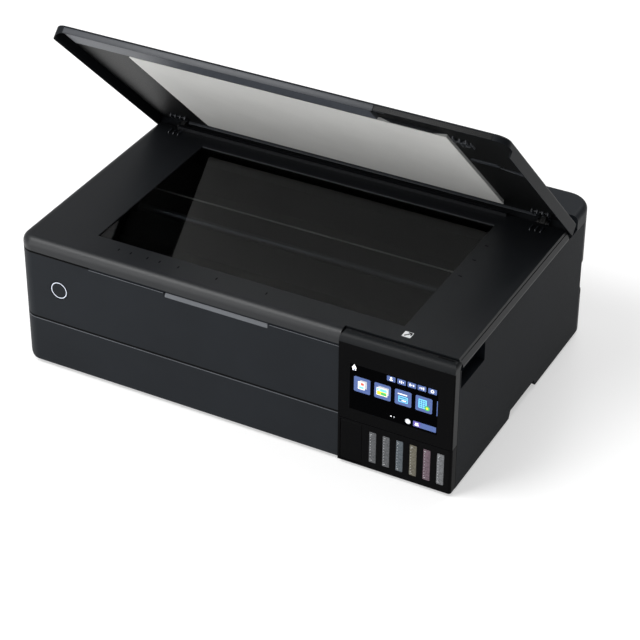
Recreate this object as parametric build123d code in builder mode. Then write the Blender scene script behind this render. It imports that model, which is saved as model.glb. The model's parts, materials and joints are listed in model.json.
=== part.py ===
from build123d import *
import os
from math import atan2, cos, pi, radians, sin, sqrt, tan

os.makedirs("parts", exist_ok=True)

# Overall sizes of the closed printer, in millimetres
WIDTH = 523.0
DEPTH = 379.0
HEIGHT = 169.0

# Housing walls and gaps
WALL = 2.5
SEAM = 0.6          # gap between neighbouring covers
RUN = 0.4           # gap between parts that move past each other
FIT = 0.05          # radial play of a pin in its bore
FOOT_H = 3.5
FLOOR_T = 3.0
EDGE = 0.6          # small bevel on outer edges
LID_PROUD = 1.0     # lid stands out past the body on each side
DUPLEX_OUT = 15.5   # duplex cover stands out behind the rear panel
PANEL_STEP = 2.5    # front panel lies behind the face of the control block
CORNER_R = 18.0     # front left corner, seen from above
REAR_CORNER_R = 28.0
BED_DROP = 8.0      # bed below the top of the closed lid
SIDE_TOP = HEIGHT - 19.0
FACE_TOP = HEIGHT - 23.5
COVER_TOP = 61.0
COVER_BOTTOM = 4.5

HALF_W = WIDTH / 2 - LID_PROUD
FRONT_Y = -DEPTH / 2
FACE_Y = FRONT_Y + PANEL_STEP
BACK_Y = DEPTH / 2 - DUPLEX_OUT
INNER_W = HALF_W - WALL
INNER_BACK = BACK_Y - WALL
FLOOR_TOP = FOOT_H + FLOOR_T
BED_TOP = HEIGHT - BED_DROP

# Control block at the front right
BLOCK_W = 129.0
BLOCK_WRAP = 11.5   # how far the block wraps round the right side
PANEL_BOTTOM = 59.0
BLOCK_X = HALF_W - BLOCK_W
BLOCK_BACK = FRONT_Y + BLOCK_WRAP
WALL_END_X = BLOCK_X - SEAM
PANEL_AXIS_R = 9.0  # round top edge of the panel, centred on its hinge
PANEL_AXIS_Y = FRONT_Y + PANEL_AXIS_R
PANEL_AXIS_Z = BED_TOP - PANEL_AXIS_R

# Scanner unit
BULLNOSE_R = 10.0
BEVEL_IN = 4.0
BEVEL_DOWN = 9.0
BED_REAR = BACK_Y - 73.0
TROUGH_DEPTH = 21.0
TROUGH_DROP = 18.0
NOTCH_X = BLOCK_X - SEAM
NOTCH_Y = PANEL_AXIS_Y + PANEL_AXIS_R - 2.0
GLASS_LEFT = 78.5     # borders of the bed round the glass window
GLASS_RIGHT = 76.5
GLASS_FRONT = 40.15
GLASS_REAR = 27.35
GLASS_T = 3.0
GLASS_RECESS = 1.2
GLASS_LAND = 7.0
LEDGE_X0 = -HALF_W + 32.5
LEDGE_X1 = HALF_W - 72.5
LEDGE_H = 4.0
LEDGE_D = 5.0
SCAN_AXIS_Y = BACK_Y - 58.0
SCAN_AXIS_Z = BED_TOP - 14.0
TROUGH_TOP = BED_TOP - TROUGH_DROP
PLATE_Z = BED_TOP - WALL
WINDOW_LEFT = -HALF_W + GLASS_LEFT
WINDOW_RIGHT = HALF_W - GLASS_RIGHT
WINDOW_FRONT = FACE_Y + GLASS_FRONT
WINDOW_REAR = BED_REAR - GLASS_REAR
GLASS_MID = (WINDOW_FRONT + WINDOW_REAR) / 2
PAN_H = 38.5          # depth of the scanner tray below the bed plate
PAN_Z = PLATE_Z - PAN_H

# Lid, open at rest
LID_REST = 45.1
LID_H = 15.0
LID_WALL = 2.0
LID_CORNER_R = 14.0
LID_SETBACK = 7.5   # front edge behind the face of the control block
LID_TAIL = 4.5      # rear edge behind the hinge axis
LID_AXIS_Y = BACK_Y - 66.5
LID_AXIS_Z = HEIGHT - 10.45
LINER_T = 1.4
MAT_LEFT = 1.0        # mat past the glass window on each side
MAT_RIGHT = 3.0
MAT_FRONT = -0.85
MAT_REAR = 6.35
MAT_GAP = 0.4       # mat above the bed when the lid is shut
HINGE_X = HALF_W - 33.5
KNUCKLE_R = 4.5
ARM_W = 5.4
CHEEK_W = 3.0
PIN_R = 2.0

LID = Plane(
    origin=(0, LID_AXIS_Y, LID_AXIS_Z),
    x_dir=(1, 0, 0),
    z_dir=(0, sin(radians(LID_REST)), cos(radians(LID_REST))),
)
LID_TOP = HEIGHT - LID_AXIS_Z
LID_RIM = LID_TOP - LID_H
LID_FRONT = FRONT_Y + LID_SETBACK - LID_AXIS_Y
LINER_Z = LID_TOP - LID_WALL - LINER_T

# Print mechanism
FRAME_T = 1.5
FRAME_X0 = -HALF_W + 28.5
FRAME_X1 = BLOCK_X + 18.5
RAIL_Y = BACK_Y - 118.0
RAIL_Z0 = 64.0
RAIL_Z1 = PAN_Z - 8.0
RAIL_LIP = 10.0
FEED_Y = RAIL_Y - 20.0
FEED_Z = 62.0
EJECT_Y = RAIL_Y - 92.0
EJECT_Z = 60.0
CARRIAGE_X = FRAME_X1 - 52.0
CARRIAGE_W = 90.0
BELT_RISE = 2.0     # belt above the middle of the rail
BELT_Z = (RAIL_Z0 + RAIL_Z1) / 2 + BELT_RISE
BELT_W = 6.0
PULLEY_R = 6.0
DRIVE_X = FRAME_X0 + 27.0
IDLER_X = FRAME_X1 - 22.0
GEAR_MODULE = 0.8
GEAR_TEETH = 40
PINION_TEETH = 12
GEAR_W = 6.0
GEAR_X = FRAME_X0 - 10.0
PINION_ANGLE = -70.0

# Paper trays
TRAY_X0 = -HALF_W + 114.5
TRAY_X1 = BLOCK_X - 5.5
CASSETTE_Y0 = FACE_Y + 15.0
CASSETTE_Y1 = BACK_Y - 116.0
LOWER_H = 21.0
UPPER_H = 19.0
OUTPUT_H = 4.4
OUTPUT_FRONT = 35.0   # output tray behind the face of the front cover

# Ink tanks
TANK_COUNT = 6
TANK_PITCH = 15.33
TANK_W = 13.4
TANK_X0 = BLOCK_X + 40.1
TANK_TOP = PAN_Z - 22.0
TANK_STEP_Y = FRONT_Y + 21.5
TANK_BACK_Y = FRONT_Y + 105.5
WINDOW_W = 8.8
WINDOW_Z0 = 11.9
WINDOW_Z1 = 51.3
DOOR_W = 24.4

# Rear feed
DECK_TOP = HEIGHT - 2.0
DECK_T = 4.0
DECK_EDGE_R = 7.0
DECK_DEPTH = 49.5
DECK_FRONT = BACK_Y - DECK_DEPTH
DECK_BOTTOM = SIDE_TOP - 2.4
SLOT_W = 356.0
SLOT_Y0 = BACK_Y - 44.0
SLOT_Y1 = BACK_Y - 24.5


def slab(x, y, z, plane=Plane.XY, mode=Mode.ADD):
    """Add or cut a straight-sided slab between three pairs of limits."""
    with BuildSketch(plane.offset(z[0])) as plan:
        with Locations(((x[0] + x[1]) / 2, (y[0] + y[1]) / 2)):
            Rectangle(x[1] - x[0], y[1] - y[0])
    extrude(plan.sketch, amount=z[1] - z[0], mode=mode)


def rod_x(x, y, z, radius, mode=Mode.ADD):
    """Add or cut a round rod along X."""
    with BuildSketch(Plane.YZ.offset(x[0])) as section:
        with Locations((y, z)):
            Circle(radius)
    extrude(section.sketch, amount=x[1] - x[0], mode=mode)


def side_profile(x, points, mode=Mode.ADD):
    """Add or cut a solid whose outline is given as (y, z) points."""
    with BuildSketch(Plane.YZ.offset(x[0])) as section:
        Polygon(*points, align=None)
    extrude(section.sketch, amount=x[1] - x[0], mode=mode)


def facing(y):
    """Plane that faces the front at the given depth, with (x, z) sketch axes."""
    return Plane(origin=(0, y, 0), x_dir=(1, 0, 0), z_dir=(0, -1, 0))


def save(piece, name):
    """Label a finished piece and write it to its own file."""
    piece.part.label = name
    export_step(piece.part, f"parts/{name}.step")


# Base tray: floor, cassette guides, hand holds and the knuckles of the front cover
BASE_FRONT = FACE_Y + 13.0
BLOCK_STEP = 1.0    # floor set back behind the ink bezel
GUIDE_T = 2.7
GUIDE_TOP = FLOOR_TOP + LOWER_H + UPPER_H + OUTPUT_H + 3.0
HOLD_Y0 = -42.0
HOLD_Y1 = 30.0
HOLD_DEPTH = 20.0
HOLD_H = 8.5
HOLD_BELOW = 1.0    # outline of the hold starts below the panel's edge
COVER_AXIS_Y = FACE_Y + 5.5
COVER_AXIS_Z = COVER_BOTTOM + 4.0
COVER_LUG_R = 2.8
COVER_PIN_R = 1.5
COVER_HINGES = (-HALF_W + 36.5, WALL_END_X - 18.9)
KNUCKLE_W = 8.0
LUG_W = 4.0

with BuildPart() as base_tray:
    slab((-INNER_W, INNER_W), (BASE_FRONT, INNER_BACK), (FOOT_H, FLOOR_TOP))
    fillet(base_tray.edges().filter_by(Axis.Z).group_by(Axis.Y)[0].sort_by(Axis.X)[:1], CORNER_R + WALL)
    fillet(base_tray.edges().filter_by(Axis.Z).group_by(Axis.Y)[-1], REAR_CORNER_R - WALL)
    slab((BLOCK_X + WALL, INNER_W), (FRONT_Y + WALL + BLOCK_STEP, BASE_FRONT), (FOOT_H, FLOOR_TOP))
    for guide_x in (TRAY_X0 - RUN - GUIDE_T, TRAY_X1 + RUN):
        slab((guide_x, guide_x + GUIDE_T), (BASE_FRONT, CASSETTE_Y1), (FLOOR_TOP, GUIDE_TOP))
    stop_x = (TRAY_X0 - RUN - GUIDE_T, TRAY_X1 + RUN + GUIDE_T)
    slab(stop_x, (CASSETTE_Y1, CASSETTE_Y1 + WALL), (FLOOR_TOP, FLOOR_TOP + LOWER_H))
    for side in (-1, 1):
        hold_in = side * (INNER_W - HOLD_DEPTH)
        hold_x = sorted((hold_in, side * INNER_W))
        wall_x = sorted((hold_in, hold_in - side * WALL))
        roof_z = FOOT_H + HOLD_H + WALL
        slab(hold_x, (HOLD_Y0 - WALL, HOLD_Y1 + WALL), (FOOT_H, roof_z))
        slab(wall_x, (HOLD_Y0 - WALL, HOLD_Y1 + WALL), (FOOT_H, roof_z))
        slab(hold_x, (HOLD_Y0, HOLD_Y1), (FOOT_H, roof_z - WALL), mode=Mode.SUBTRACT)
    for hinge_x in COVER_HINGES:
        knuckle_x = (hinge_x - KNUCKLE_W / 2, hinge_x + KNUCKLE_W / 2)
        pin_x = (knuckle_x[0] - LUG_W, knuckle_x[1] + LUG_W)
        rod_x(knuckle_x, COVER_AXIS_Y, COVER_AXIS_Z, COVER_LUG_R - RUN / 2)
        slab(knuckle_x, (COVER_AXIS_Y, BASE_FRONT), (FOOT_H + WALL, COVER_AXIS_Z + COVER_LUG_R - RUN / 2))
        slab(knuckle_x, (BASE_FRONT - LUG_W / 2, BASE_FRONT), (FOOT_H, FLOOR_TOP))
        rod_x(pin_x, COVER_AXIS_Y, COVER_AXIS_Z, COVER_PIN_R)
save(base_tray, "base_tray")

# Rubber feet under the base
FOOT_R = 10.0
FOOT_SPAN_X = 2 * (HALF_W - 60.5)
FOOT_SPAN_Y = 2 * (BACK_Y - 49.0)

with BuildPart() as rubber_feet:
    with BuildSketch(Plane.XY):
        with GridLocations(FOOT_SPAN_X, FOOT_SPAN_Y, 2, 2):
            Circle(FOOT_R)
    extrude(amount=FOOT_H)
    chamfer(rubber_feet.edges().group_by(Axis.Z)[0], FOOT_H / 4)
save(rubber_feet, "rubber_feet")

# Side panels with a finger recess under the scanner and a hand hold
RECESS_Y0 = FRONT_Y + 14.5
RECESS_Y1 = FRONT_Y + 71.5
RECESS_Z0 = SIDE_TOP - 23.0
RECESS_DEPTH = 11.0
FLANGE_W = 9.0
SIDE_GAP = 1.5
SIDE_BACK = BACK_Y - REAR_CORNER_R - SEAM


def side_panel(side, front_y):
    """Side cover of the housing, for the left (-1) or the right (1)."""
    outer = side * HALF_W
    with BuildPart() as panel:
        with BuildSketch(Plane.YZ.offset(min(outer, outer - side * WALL))) as outline:
            with BuildLine():
                Polyline(
                    (front_y, FOOT_H),
                    (SIDE_BACK, FOOT_H),
                    (SIDE_BACK, DECK_BOTTOM - SEAM),
                    (DECK_FRONT, DECK_BOTTOM - SEAM),
                    (DECK_FRONT, SIDE_TOP),
                    (front_y, SIDE_TOP),
                    close=True,
                )
            make_face()
        extrude(amount=WALL)
        flange_x = sorted((outer, outer - side * FLANGE_W))
        slab(flange_x, (front_y, DECK_FRONT), (SIDE_TOP - WALL, SIDE_TOP))
        recess_y0 = max(RECESS_Y0, front_y + WALL)
        pocket_x = sorted((outer, outer - side * (RECESS_DEPTH + WALL)))
        recess_x = sorted((outer, outer - side * RECESS_DEPTH))
        slab(pocket_x, (recess_y0 - WALL, RECESS_Y1 + WALL), (RECESS_Z0 - WALL, SIDE_TOP))
        slab(recess_x, (recess_y0, RECESS_Y1), (RECESS_Z0, SIDE_TOP), mode=Mode.SUBTRACT)
        hold_x = sorted((outer, outer - side * WALL))
        hold_top = FOOT_H + HOLD_H
        hold_slope = HOLD_H / 2
        side_profile(
            hold_x,
            [
                (HOLD_Y0, FOOT_H - HOLD_BELOW),
                (HOLD_Y1, FOOT_H - HOLD_BELOW),
                (HOLD_Y1 - hold_slope, hold_top),
                (HOLD_Y0 + hold_slope, hold_top),
            ],
            mode=Mode.SUBTRACT,
        )
    return panel


left_side_panel = side_panel(-1, FACE_Y + CORNER_R + SIDE_GAP)
save(left_side_panel, "left_side_panel")
right_side_panel = side_panel(1, BLOCK_BACK + SEAM)
save(right_side_panel, "right_side_panel")

# Rear panel with openings for the duplex cover, the sockets and the maintenance box
DUPLEX_X0 = -HALF_W + 95.5
DUPLEX_X1 = HALF_W - 125.5
DUPLEX_Z0 = 16.0
DUPLEX_Z1 = DECK_BOTTOM - 21.6
DUPLEX_RIM = 2.0
INLET_X = -HALF_W + 46.0
INLET_Z = 32.0
INLET_W = 28.0
INLET_H = 20.0
USB_X = -HALF_W + 64.0
USB_Z = 84.0
USB_SIZE = 13.0
LAN_X = -HALF_W + 39.0
LAN_Z = 84.0
LAN_W = 17.0
LAN_H = 15.0
BOX_X0 = HALF_W - 116.0
BOX_X1 = HALF_W - 32.0
BOX_Z1 = 58.0
BOX_Y0 = BACK_Y - 90.0
NOTCH_Z0 = 54.0     # cable recess in each rear corner
NOTCH_Z1 = 95.0
NOTCH_IN = 4.0
CORNER_X = HALF_W - REAR_CORNER_R
CORNER_Y = BACK_Y - REAR_CORNER_R
VENT_L = 70.0
VENT_H = 3.0
VENT_PITCH = 7.0
VENT_COUNT = 5
VENT_Z = DUPLEX_Z1 - 12.0


def rear_corner(side, inner_r, outer_r, z, mode=Mode.ADD):
    """Add or cut a quarter ring about the axis of a rounded rear corner."""
    with BuildSketch(Plane.XY.offset(z[0])) as ring:
        with Locations((side * CORNER_X, CORNER_Y)):
            Circle(outer_r)
            Circle(inner_r, mode=Mode.SUBTRACT)
        with Locations((side * (CORNER_X + outer_r / 2), CORNER_Y + outer_r / 2)):
            Rectangle(outer_r, outer_r, mode=Mode.INTERSECT)
    extrude(ring.sketch, amount=z[1] - z[0], mode=mode)


with BuildPart() as rear_panel:
    panel_z = (FOOT_H, DECK_BOTTOM - SEAM)
    slab((-CORNER_X, CORNER_X), (INNER_BACK, BACK_Y), panel_z)
    for side in (-1, 1):
        rear_corner(side, REAR_CORNER_R - WALL, REAR_CORNER_R, panel_z)
        backing_z = (NOTCH_Z0 - WALL, NOTCH_Z1 + WALL)
        rear_corner(side, REAR_CORNER_R - NOTCH_IN - WALL, REAR_CORNER_R, backing_z)
        rear_corner(
            side,
            REAR_CORNER_R - NOTCH_IN,
            REAR_CORNER_R + SEAM,
            (NOTCH_Z0, NOTCH_Z1),
            mode=Mode.SUBTRACT,
        )
        side_end = sorted((side * (HALF_W - NOTCH_IN - WALL), side * (HALF_W - RUN)))
        slab(side_end, (CORNER_Y, CORNER_Y + WALL), (NOTCH_Z0, NOTCH_Z1))
        back_end = sorted((side * CORNER_X, side * (CORNER_X + WALL)))
        slab(back_end, (BACK_Y - NOTCH_IN - WALL, BACK_Y - RUN), (NOTCH_Z0, NOTCH_Z1))
    slab(
        (DUPLEX_X0 + DUPLEX_RIM, DUPLEX_X1 - DUPLEX_RIM),
        (INNER_BACK, BACK_Y),
        (DUPLEX_Z0 + DUPLEX_RIM, DUPLEX_Z1 - DUPLEX_RIM),
        mode=Mode.SUBTRACT,
    )
    for cx, cz, w, h in (
        (INLET_X, INLET_Z, INLET_W, INLET_H),
        (USB_X, USB_Z, USB_SIZE, USB_SIZE),
        (LAN_X, LAN_Z, LAN_W, LAN_H),
    ):
        slab((cx - w / 2, cx + w / 2), (INNER_BACK, BACK_Y), (cz - h / 2, cz + h / 2), mode=Mode.SUBTRACT)
    slab((BOX_X0, BOX_X1), (INNER_BACK, BACK_Y), (FLOOR_TOP, BOX_Z1), mode=Mode.SUBTRACT)
    with BuildSketch(facing(BACK_Y)):
        with Locations(((DUPLEX_X1 + CORNER_X) / 2, VENT_Z)):
            with GridLocations(0, VENT_PITCH, 1, VENT_COUNT):
                SlotOverall(VENT_L, VENT_H)
    extrude(amount=WALL, mode=Mode.SUBTRACT)
save(rear_panel, "rear_panel")

# Duplex cover: a rounded shell that clips over the rear opening
DUPLEX_R = 12.0
GROOVE_END = 40.0   # grip grooves end this far from the cover's sides
GROOVE_H = 3.0
GROOVE_PITCH = 11.0
GROOVE_COUNT = 5

with BuildPart() as duplex_cover:
    slab((DUPLEX_X0, DUPLEX_X1), (BACK_Y, DEPTH / 2), (DUPLEX_Z0, DUPLEX_Z1))
    back_edges = duplex_cover.faces().sort_by(Axis.Y)[-1].edges()
    fillet(back_edges, DUPLEX_R)
    offset(amount=-WALL, openings=duplex_cover.faces().sort_by(Axis.Y)[0])
    with BuildSketch(facing(DEPTH / 2 - WALL / 2)):
        with Locations(((DUPLEX_X0 + DUPLEX_X1) / 2, (DUPLEX_Z0 + DUPLEX_Z1) / 2)):
            with GridLocations(0, GROOVE_PITCH, 1, GROOVE_COUNT):
                SlotOverall(DUPLEX_X1 - DUPLEX_X0 - 2 * GROOVE_END, GROOVE_H)
    extrude(amount=-WALL, mode=Mode.SUBTRACT)
save(duplex_cover, "duplex_cover")

# Rear deck with the paper slot, its ramp, the scanner's hinge lugs and the cover's bores
RAMP_T = 2.5
RAMP_TOP = (SLOT_Y1 - 2.5, DECK_TOP - 12.0)
RAMP_END = (BACK_Y - 90.0, DECK_BOTTOM - 73.6)
COVER_PLATE = 2.5
FEED_SINK = 1.6     # hinge axis of the cover below the deck
FEED_AXIS_Y = RAMP_TOP[0]
FEED_AXIS_Z = DECK_TOP - FEED_SINK
FEED_PIN_R = 0.8
FEED_PIN_L = 2.4
FEED_BORE_L = 3.0
FEED_LIP = 1.6      # cover plate past its hinge axis
THUMB_W = 46.0
THUMB_D = 7.0
SCAN_LUG_X = HALF_W - 20.5
SCAN_LUG_W = 6.0
SCAN_LUG_R = 3.4
RAMP_DROP = RAMP_T / cos(atan2(RAMP_TOP[1] - RAMP_END[1], RAMP_TOP[0] - RAMP_END[0]))


def deck_plan(inset):
    """Sketch of the rear deck from above, drawn in by the given wall."""
    with BuildSketch() as plan:
        with Locations((0, (DECK_FRONT + BACK_Y) / 2)):
            Rectangle(2 * (HALF_W - inset), DECK_DEPTH - 2 * inset)
        fillet(plan.vertices().sort_by(Axis.Y)[-2:], REAR_CORNER_R - inset)
    return plan.sketch


with BuildPart() as rear_deck:
    extrude(Pos(0, 0, DECK_BOTTOM) * deck_plan(0), amount=DECK_TOP - DECK_BOTTOM)
    top_rear = rear_deck.edges().group_by(Axis.Z)[-1].sort_by(Axis.Y)[1:]
    fillet(top_rear, DECK_EDGE_R)
    extrude(
        Pos(0, 0, DECK_BOTTOM) * deck_plan(WALL),
        amount=DECK_TOP - DECK_T - DECK_BOTTOM,
        mode=Mode.SUBTRACT,
    )
    slab((-SLOT_W / 2, SLOT_W / 2), (SLOT_Y0, SLOT_Y1), (DECK_BOTTOM, DECK_TOP), mode=Mode.SUBTRACT)
    side_profile(
        (-SLOT_W / 2, SLOT_W / 2),
        [
            RAMP_TOP,
            RAMP_END,
            (RAMP_END[0], RAMP_END[1] - RAMP_DROP),
            (RAMP_TOP[0], RAMP_TOP[1] - RAMP_DROP),
        ],
    )
    slab((-SLOT_W / 2, SLOT_W / 2), (RAMP_TOP[0], BACK_Y - WALL), (RAMP_TOP[1] - RAMP_T, RAMP_TOP[1]))
    for side in (-1, 1):
        lug_x = (side * SCAN_LUG_X - SCAN_LUG_W / 2, side * SCAN_LUG_X + SCAN_LUG_W / 2)
        pin_x = (lug_x[0] - CHEEK_W - RUN, lug_x[1] + CHEEK_W + RUN)
        rod_x(lug_x, SCAN_AXIS_Y, SCAN_AXIS_Z, SCAN_LUG_R)
        slab(lug_x, (SCAN_AXIS_Y, DECK_FRONT), (SCAN_AXIS_Z - SCAN_LUG_R, SCAN_AXIS_Z + SCAN_LUG_R))
        slab(lug_x, (DECK_FRONT, DECK_FRONT + WALL), (SCAN_AXIS_Z - SCAN_LUG_R, DECK_BOTTOM))
        rod_x(pin_x, SCAN_AXIS_Y, SCAN_AXIS_Z, PIN_R)
        bore_x = sorted((side * SLOT_W / 2, side * (SLOT_W / 2 + FEED_BORE_L)))
        rod_x(bore_x, FEED_AXIS_Y, FEED_AXIS_Z, FEED_PIN_R + FIT, mode=Mode.SUBTRACT)
save(rear_deck, "rear_deck")

# Rear feed cover: a flap over the paper slot
with BuildPart() as rear_feed_cover:
    slab(
        (-SLOT_W / 2 + RUN, SLOT_W / 2 - RUN),
        (SLOT_Y0 + RUN, FEED_AXIS_Y + FEED_LIP),
        (DECK_TOP - COVER_PLATE, DECK_TOP),
    )
    with BuildSketch(Plane.XY.offset(DECK_TOP - COVER_PLATE)):
        with Locations((0, SLOT_Y0 + RUN)):
            SlotOverall(THUMB_W, THUMB_D)
    extrude(amount=COVER_PLATE, mode=Mode.SUBTRACT)
    for side in (-1, 1):
        pin_x = sorted((side * (SLOT_W / 2 - RUN), side * (SLOT_W / 2 + FEED_PIN_L)))
        rod_x(pin_x, FEED_AXIS_Y, FEED_AXIS_Z, FEED_PIN_R)
save(rear_feed_cover, "rear_feed_cover")

# Paper edge guides that slide along the ramp
GUIDE_REST = 106.0
GUIDE_PLATE = 2.5
GUIDE_FOOT = 16.0
GUIDE_H = 9.0
GUIDE_AHEAD = 14.0  # foot in front of the paper slot
GUIDE_BEHIND = 3.0  # foot in front of the ramp's top
GUIDE_DROP = 2.0    # fence below the deck's plate
GUIDE_STEP = 1.0    # tall part of the fence behind the slot's front edge
RAMP_SLOPE = (RAMP_TOP[1] - RAMP_END[1]) / (RAMP_TOP[0] - RAMP_END[0])


def ramp_z(y):
    """Height of the ramp's upper face at the given depth."""
    return RAMP_END[1] + RAMP_SLOPE * (y - RAMP_END[0])


def edge_guide(side):
    """Edge guide for the left (-1) or the right (1) edge of the paper."""
    lift = RUN * sqrt(1 + RAMP_SLOPE ** 2)
    y0 = SLOT_Y0 - GUIDE_AHEAD
    y1 = RAMP_TOP[0] - GUIDE_BEHIND
    step_y = SLOT_Y0 + GUIDE_STEP
    top = DECK_TOP - DECK_T - GUIDE_DROP
    inner = side * GUIDE_REST
    with BuildPart() as guide:
        side_profile(
            sorted((inner, inner + side * GUIDE_PLATE)),
            [
                (y0, ramp_z(y0) + lift),
                (y1, ramp_z(y1) + lift),
                (y1, top),
                (step_y, top),
                (step_y, ramp_z(step_y) + lift + GUIDE_H),
                (y0, ramp_z(y0) + lift + GUIDE_H),
            ],
        )
        side_profile(
            sorted((inner, inner + side * GUIDE_FOOT)),
            [
                (y0, ramp_z(y0) + lift),
                (y1, ramp_z(y1) + lift),
                (y1, ramp_z(y1) + lift + GUIDE_PLATE),
                (y0, ramp_z(y0) + lift + GUIDE_PLATE),
            ],
        )
    return guide


edge_guide_left = edge_guide(-1)
save(edge_guide_left, "edge_guide_left")
edge_guide_right = edge_guide(1)
save(edge_guide_right, "edge_guide_right")


def front_wall(z0, z1):
    """Add the front wall, from the control block round the left corner."""
    with BuildSketch(Plane.XY.offset(z0)) as plan:
        with BuildLine():
            face = Line((WALL_END_X, FACE_Y), (-HALF_W + CORNER_R, FACE_Y))
            bend = TangentArc(face @ 1, (-HALF_W, FACE_Y + CORNER_R), tangent=face % 1)
            edge = Line(bend @ 1, (-INNER_W, FACE_Y + CORNER_R))
            back = TangentArc(edge @ 1, (-HALF_W + CORNER_R, FACE_Y + WALL), tangent=(0, -1))
            Polyline(back @ 1, (WALL_END_X, FACE_Y + WALL), face @ 0)
        make_face()
    extrude(plan.sketch, amount=z1 - z0)


# Upper front panel with the finger lip and the power button's bore
SHELF_D = 9.0
LIP_W = 124.0
LIP_X1 = BLOCK_X - 83.5
LIP_X0 = LIP_X1 - LIP_W
LIP_H = 7.0
LIP_D = 1.8
BUTTON_X = -HALF_W + 51.0
BUTTON_Z = FACE_TOP - 40.5
BUTTON_R = 11.2
BOSS_L = 7.0
SHADOW_X = -HALF_W + 90.5
SHADOW_H = 2.0
SHADOW_D = 1.2

with BuildPart() as front_panel:
    front_wall(COVER_TOP + SEAM, FACE_TOP)
    shelf_x = (-HALF_W + CORNER_R, WALL_END_X)
    slab(shelf_x, (FACE_Y + WALL, FACE_Y + SHELF_D), (FACE_TOP - WALL, FACE_TOP))
    with BuildSketch(facing(FACE_Y + WALL)):
        with Locations((BUTTON_X, BUTTON_Z)):
            Circle(BUTTON_R + WALL)
    extrude(amount=-BOSS_L)
    with BuildSketch(facing(FACE_Y)):
        with Locations((BUTTON_X, BUTTON_Z)):
            Circle(BUTTON_R + RUN)
    extrude(amount=-WALL - BOSS_L, mode=Mode.SUBTRACT)
    slab(
        (SHADOW_X, WALL_END_X),
        (FACE_Y, FACE_Y + SHADOW_D),
        (FACE_TOP - SHADOW_H, FACE_TOP),
        mode=Mode.SUBTRACT,
    )
    side_profile(
        (LIP_X0, LIP_X1),
        [
            (FACE_Y, FACE_TOP - LIP_H),
            (FACE_Y + LIP_D, FACE_TOP - SHADOW_H),
            (FACE_Y + LIP_D, FACE_TOP),
            (FACE_Y, FACE_TOP),
        ],
        mode=Mode.SUBTRACT,
    )
save(front_panel, "front_panel")

# Power button: a stepped plunger in the boss of the front panel
BUTTON_TRAVEL = 1.5
BUTTON_RIM = 1.2
RING_DEPTH = 0.4    # groove for the light ring

with BuildPart() as power_button:
    with BuildSketch(facing(FACE_Y + WALL + BOSS_L - BUTTON_TRAVEL)):
        with Locations((BUTTON_X, BUTTON_Z)):
            Circle(BUTTON_R)
    extrude(amount=WALL + BOSS_L - BUTTON_TRAVEL)
    with BuildSketch(facing(FACE_Y)):
        with Locations((BUTTON_X, BUTTON_Z)):
            Circle(BUTTON_R - BUTTON_RIM)
            Circle(BUTTON_R - 2 * BUTTON_RIM, mode=Mode.SUBTRACT)
    extrude(amount=-RING_DEPTH, mode=Mode.SUBTRACT)
save(power_button, "power_button")

# Lower front cover, hinged along its bottom edge
COVER_CORNER_R = 16.0
SWEEP_R = sqrt((COVER_TOP - COVER_AXIS_Z) ** 2 + (COVER_AXIS_Y - FACE_Y) ** 2)

with BuildPart() as front_cover:
    front_wall(COVER_BOTTOM, COVER_TOP)
    with BuildSketch(facing(FACE_Y + CORNER_R)) as front_view:
        with Locations(((WALL_END_X - HALF_W) / 2, (COVER_BOTTOM + COVER_TOP) / 2)):
            Rectangle(WALL_END_X + HALF_W, COVER_TOP - COVER_BOTTOM)
        fillet(front_view.vertices().group_by(Axis.X)[0].sort_by(Axis.Y)[:1], COVER_CORNER_R)
    extrude(amount=CORNER_R, mode=Mode.INTERSECT)
    chamfer(front_cover.faces().sort_by(Axis.Y)[0].edges().filter_by(Axis.X), EDGE)
    rod_x((-HALF_W, WALL_END_X), COVER_AXIS_Y, COVER_AXIS_Z, SWEEP_R, mode=Mode.INTERSECT)
    for hinge_x in COVER_HINGES:
        for side in (-1, 1):
            lug_in = hinge_x + side * (KNUCKLE_W / 2 + RUN)
            lug_x = sorted((lug_in, lug_in + side * LUG_W))
            rod_x(lug_x, COVER_AXIS_Y, COVER_AXIS_Z, COVER_LUG_R)
            slab(
                lug_x,
                (FACE_Y + WALL, COVER_AXIS_Y),
                (COVER_AXIS_Z - COVER_LUG_R, COVER_AXIS_Z + COVER_LUG_R),
            )
            rod_x(lug_x, COVER_AXIS_Y, COVER_AXIS_Z, COVER_PIN_R + FIT, mode=Mode.SUBTRACT)
save(front_cover, "front_cover")


def open_tray(x, y, z, wall):
    """Add an open-topped tray with a raised floor edge at its front."""
    slab(x, y, z)
    slab(
        (x[0] + wall, x[1] - wall),
        (y[0] + 2 * wall, y[1] - wall),
        (z[0] + wall, z[1]),
        mode=Mode.SUBTRACT,
    )


# Paper cassettes, one above the other
CASSETTE_WALL = 2.4
CASSETTE_GAP = RUN
LOWER_Z = FLOOR_TOP
UPPER_Z = LOWER_Z + LOWER_H
GRIP_CUT_W = 70.0
GRIP_CUT_H = 8.0
GRIP_DROP = 5.0     # middle of the grip below the tray's edge
GRIP_DEPTH = 1.5 * CASSETTE_WALL

with BuildPart() as cassette_lower:
    open_tray(
        (TRAY_X0, TRAY_X1),
        (CASSETTE_Y0, CASSETTE_Y1),
        (LOWER_Z, UPPER_Z - CASSETTE_GAP),
        CASSETTE_WALL,
    )
    with BuildSketch(facing(CASSETTE_Y0)):
        with Locations(((TRAY_X0 + TRAY_X1) / 2, LOWER_Z + LOWER_H - GRIP_DROP)):
            SlotOverall(GRIP_CUT_W, GRIP_CUT_H)
    extrude(amount=-GRIP_DEPTH, mode=Mode.SUBTRACT)
save(cassette_lower, "cassette_lower")

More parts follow.
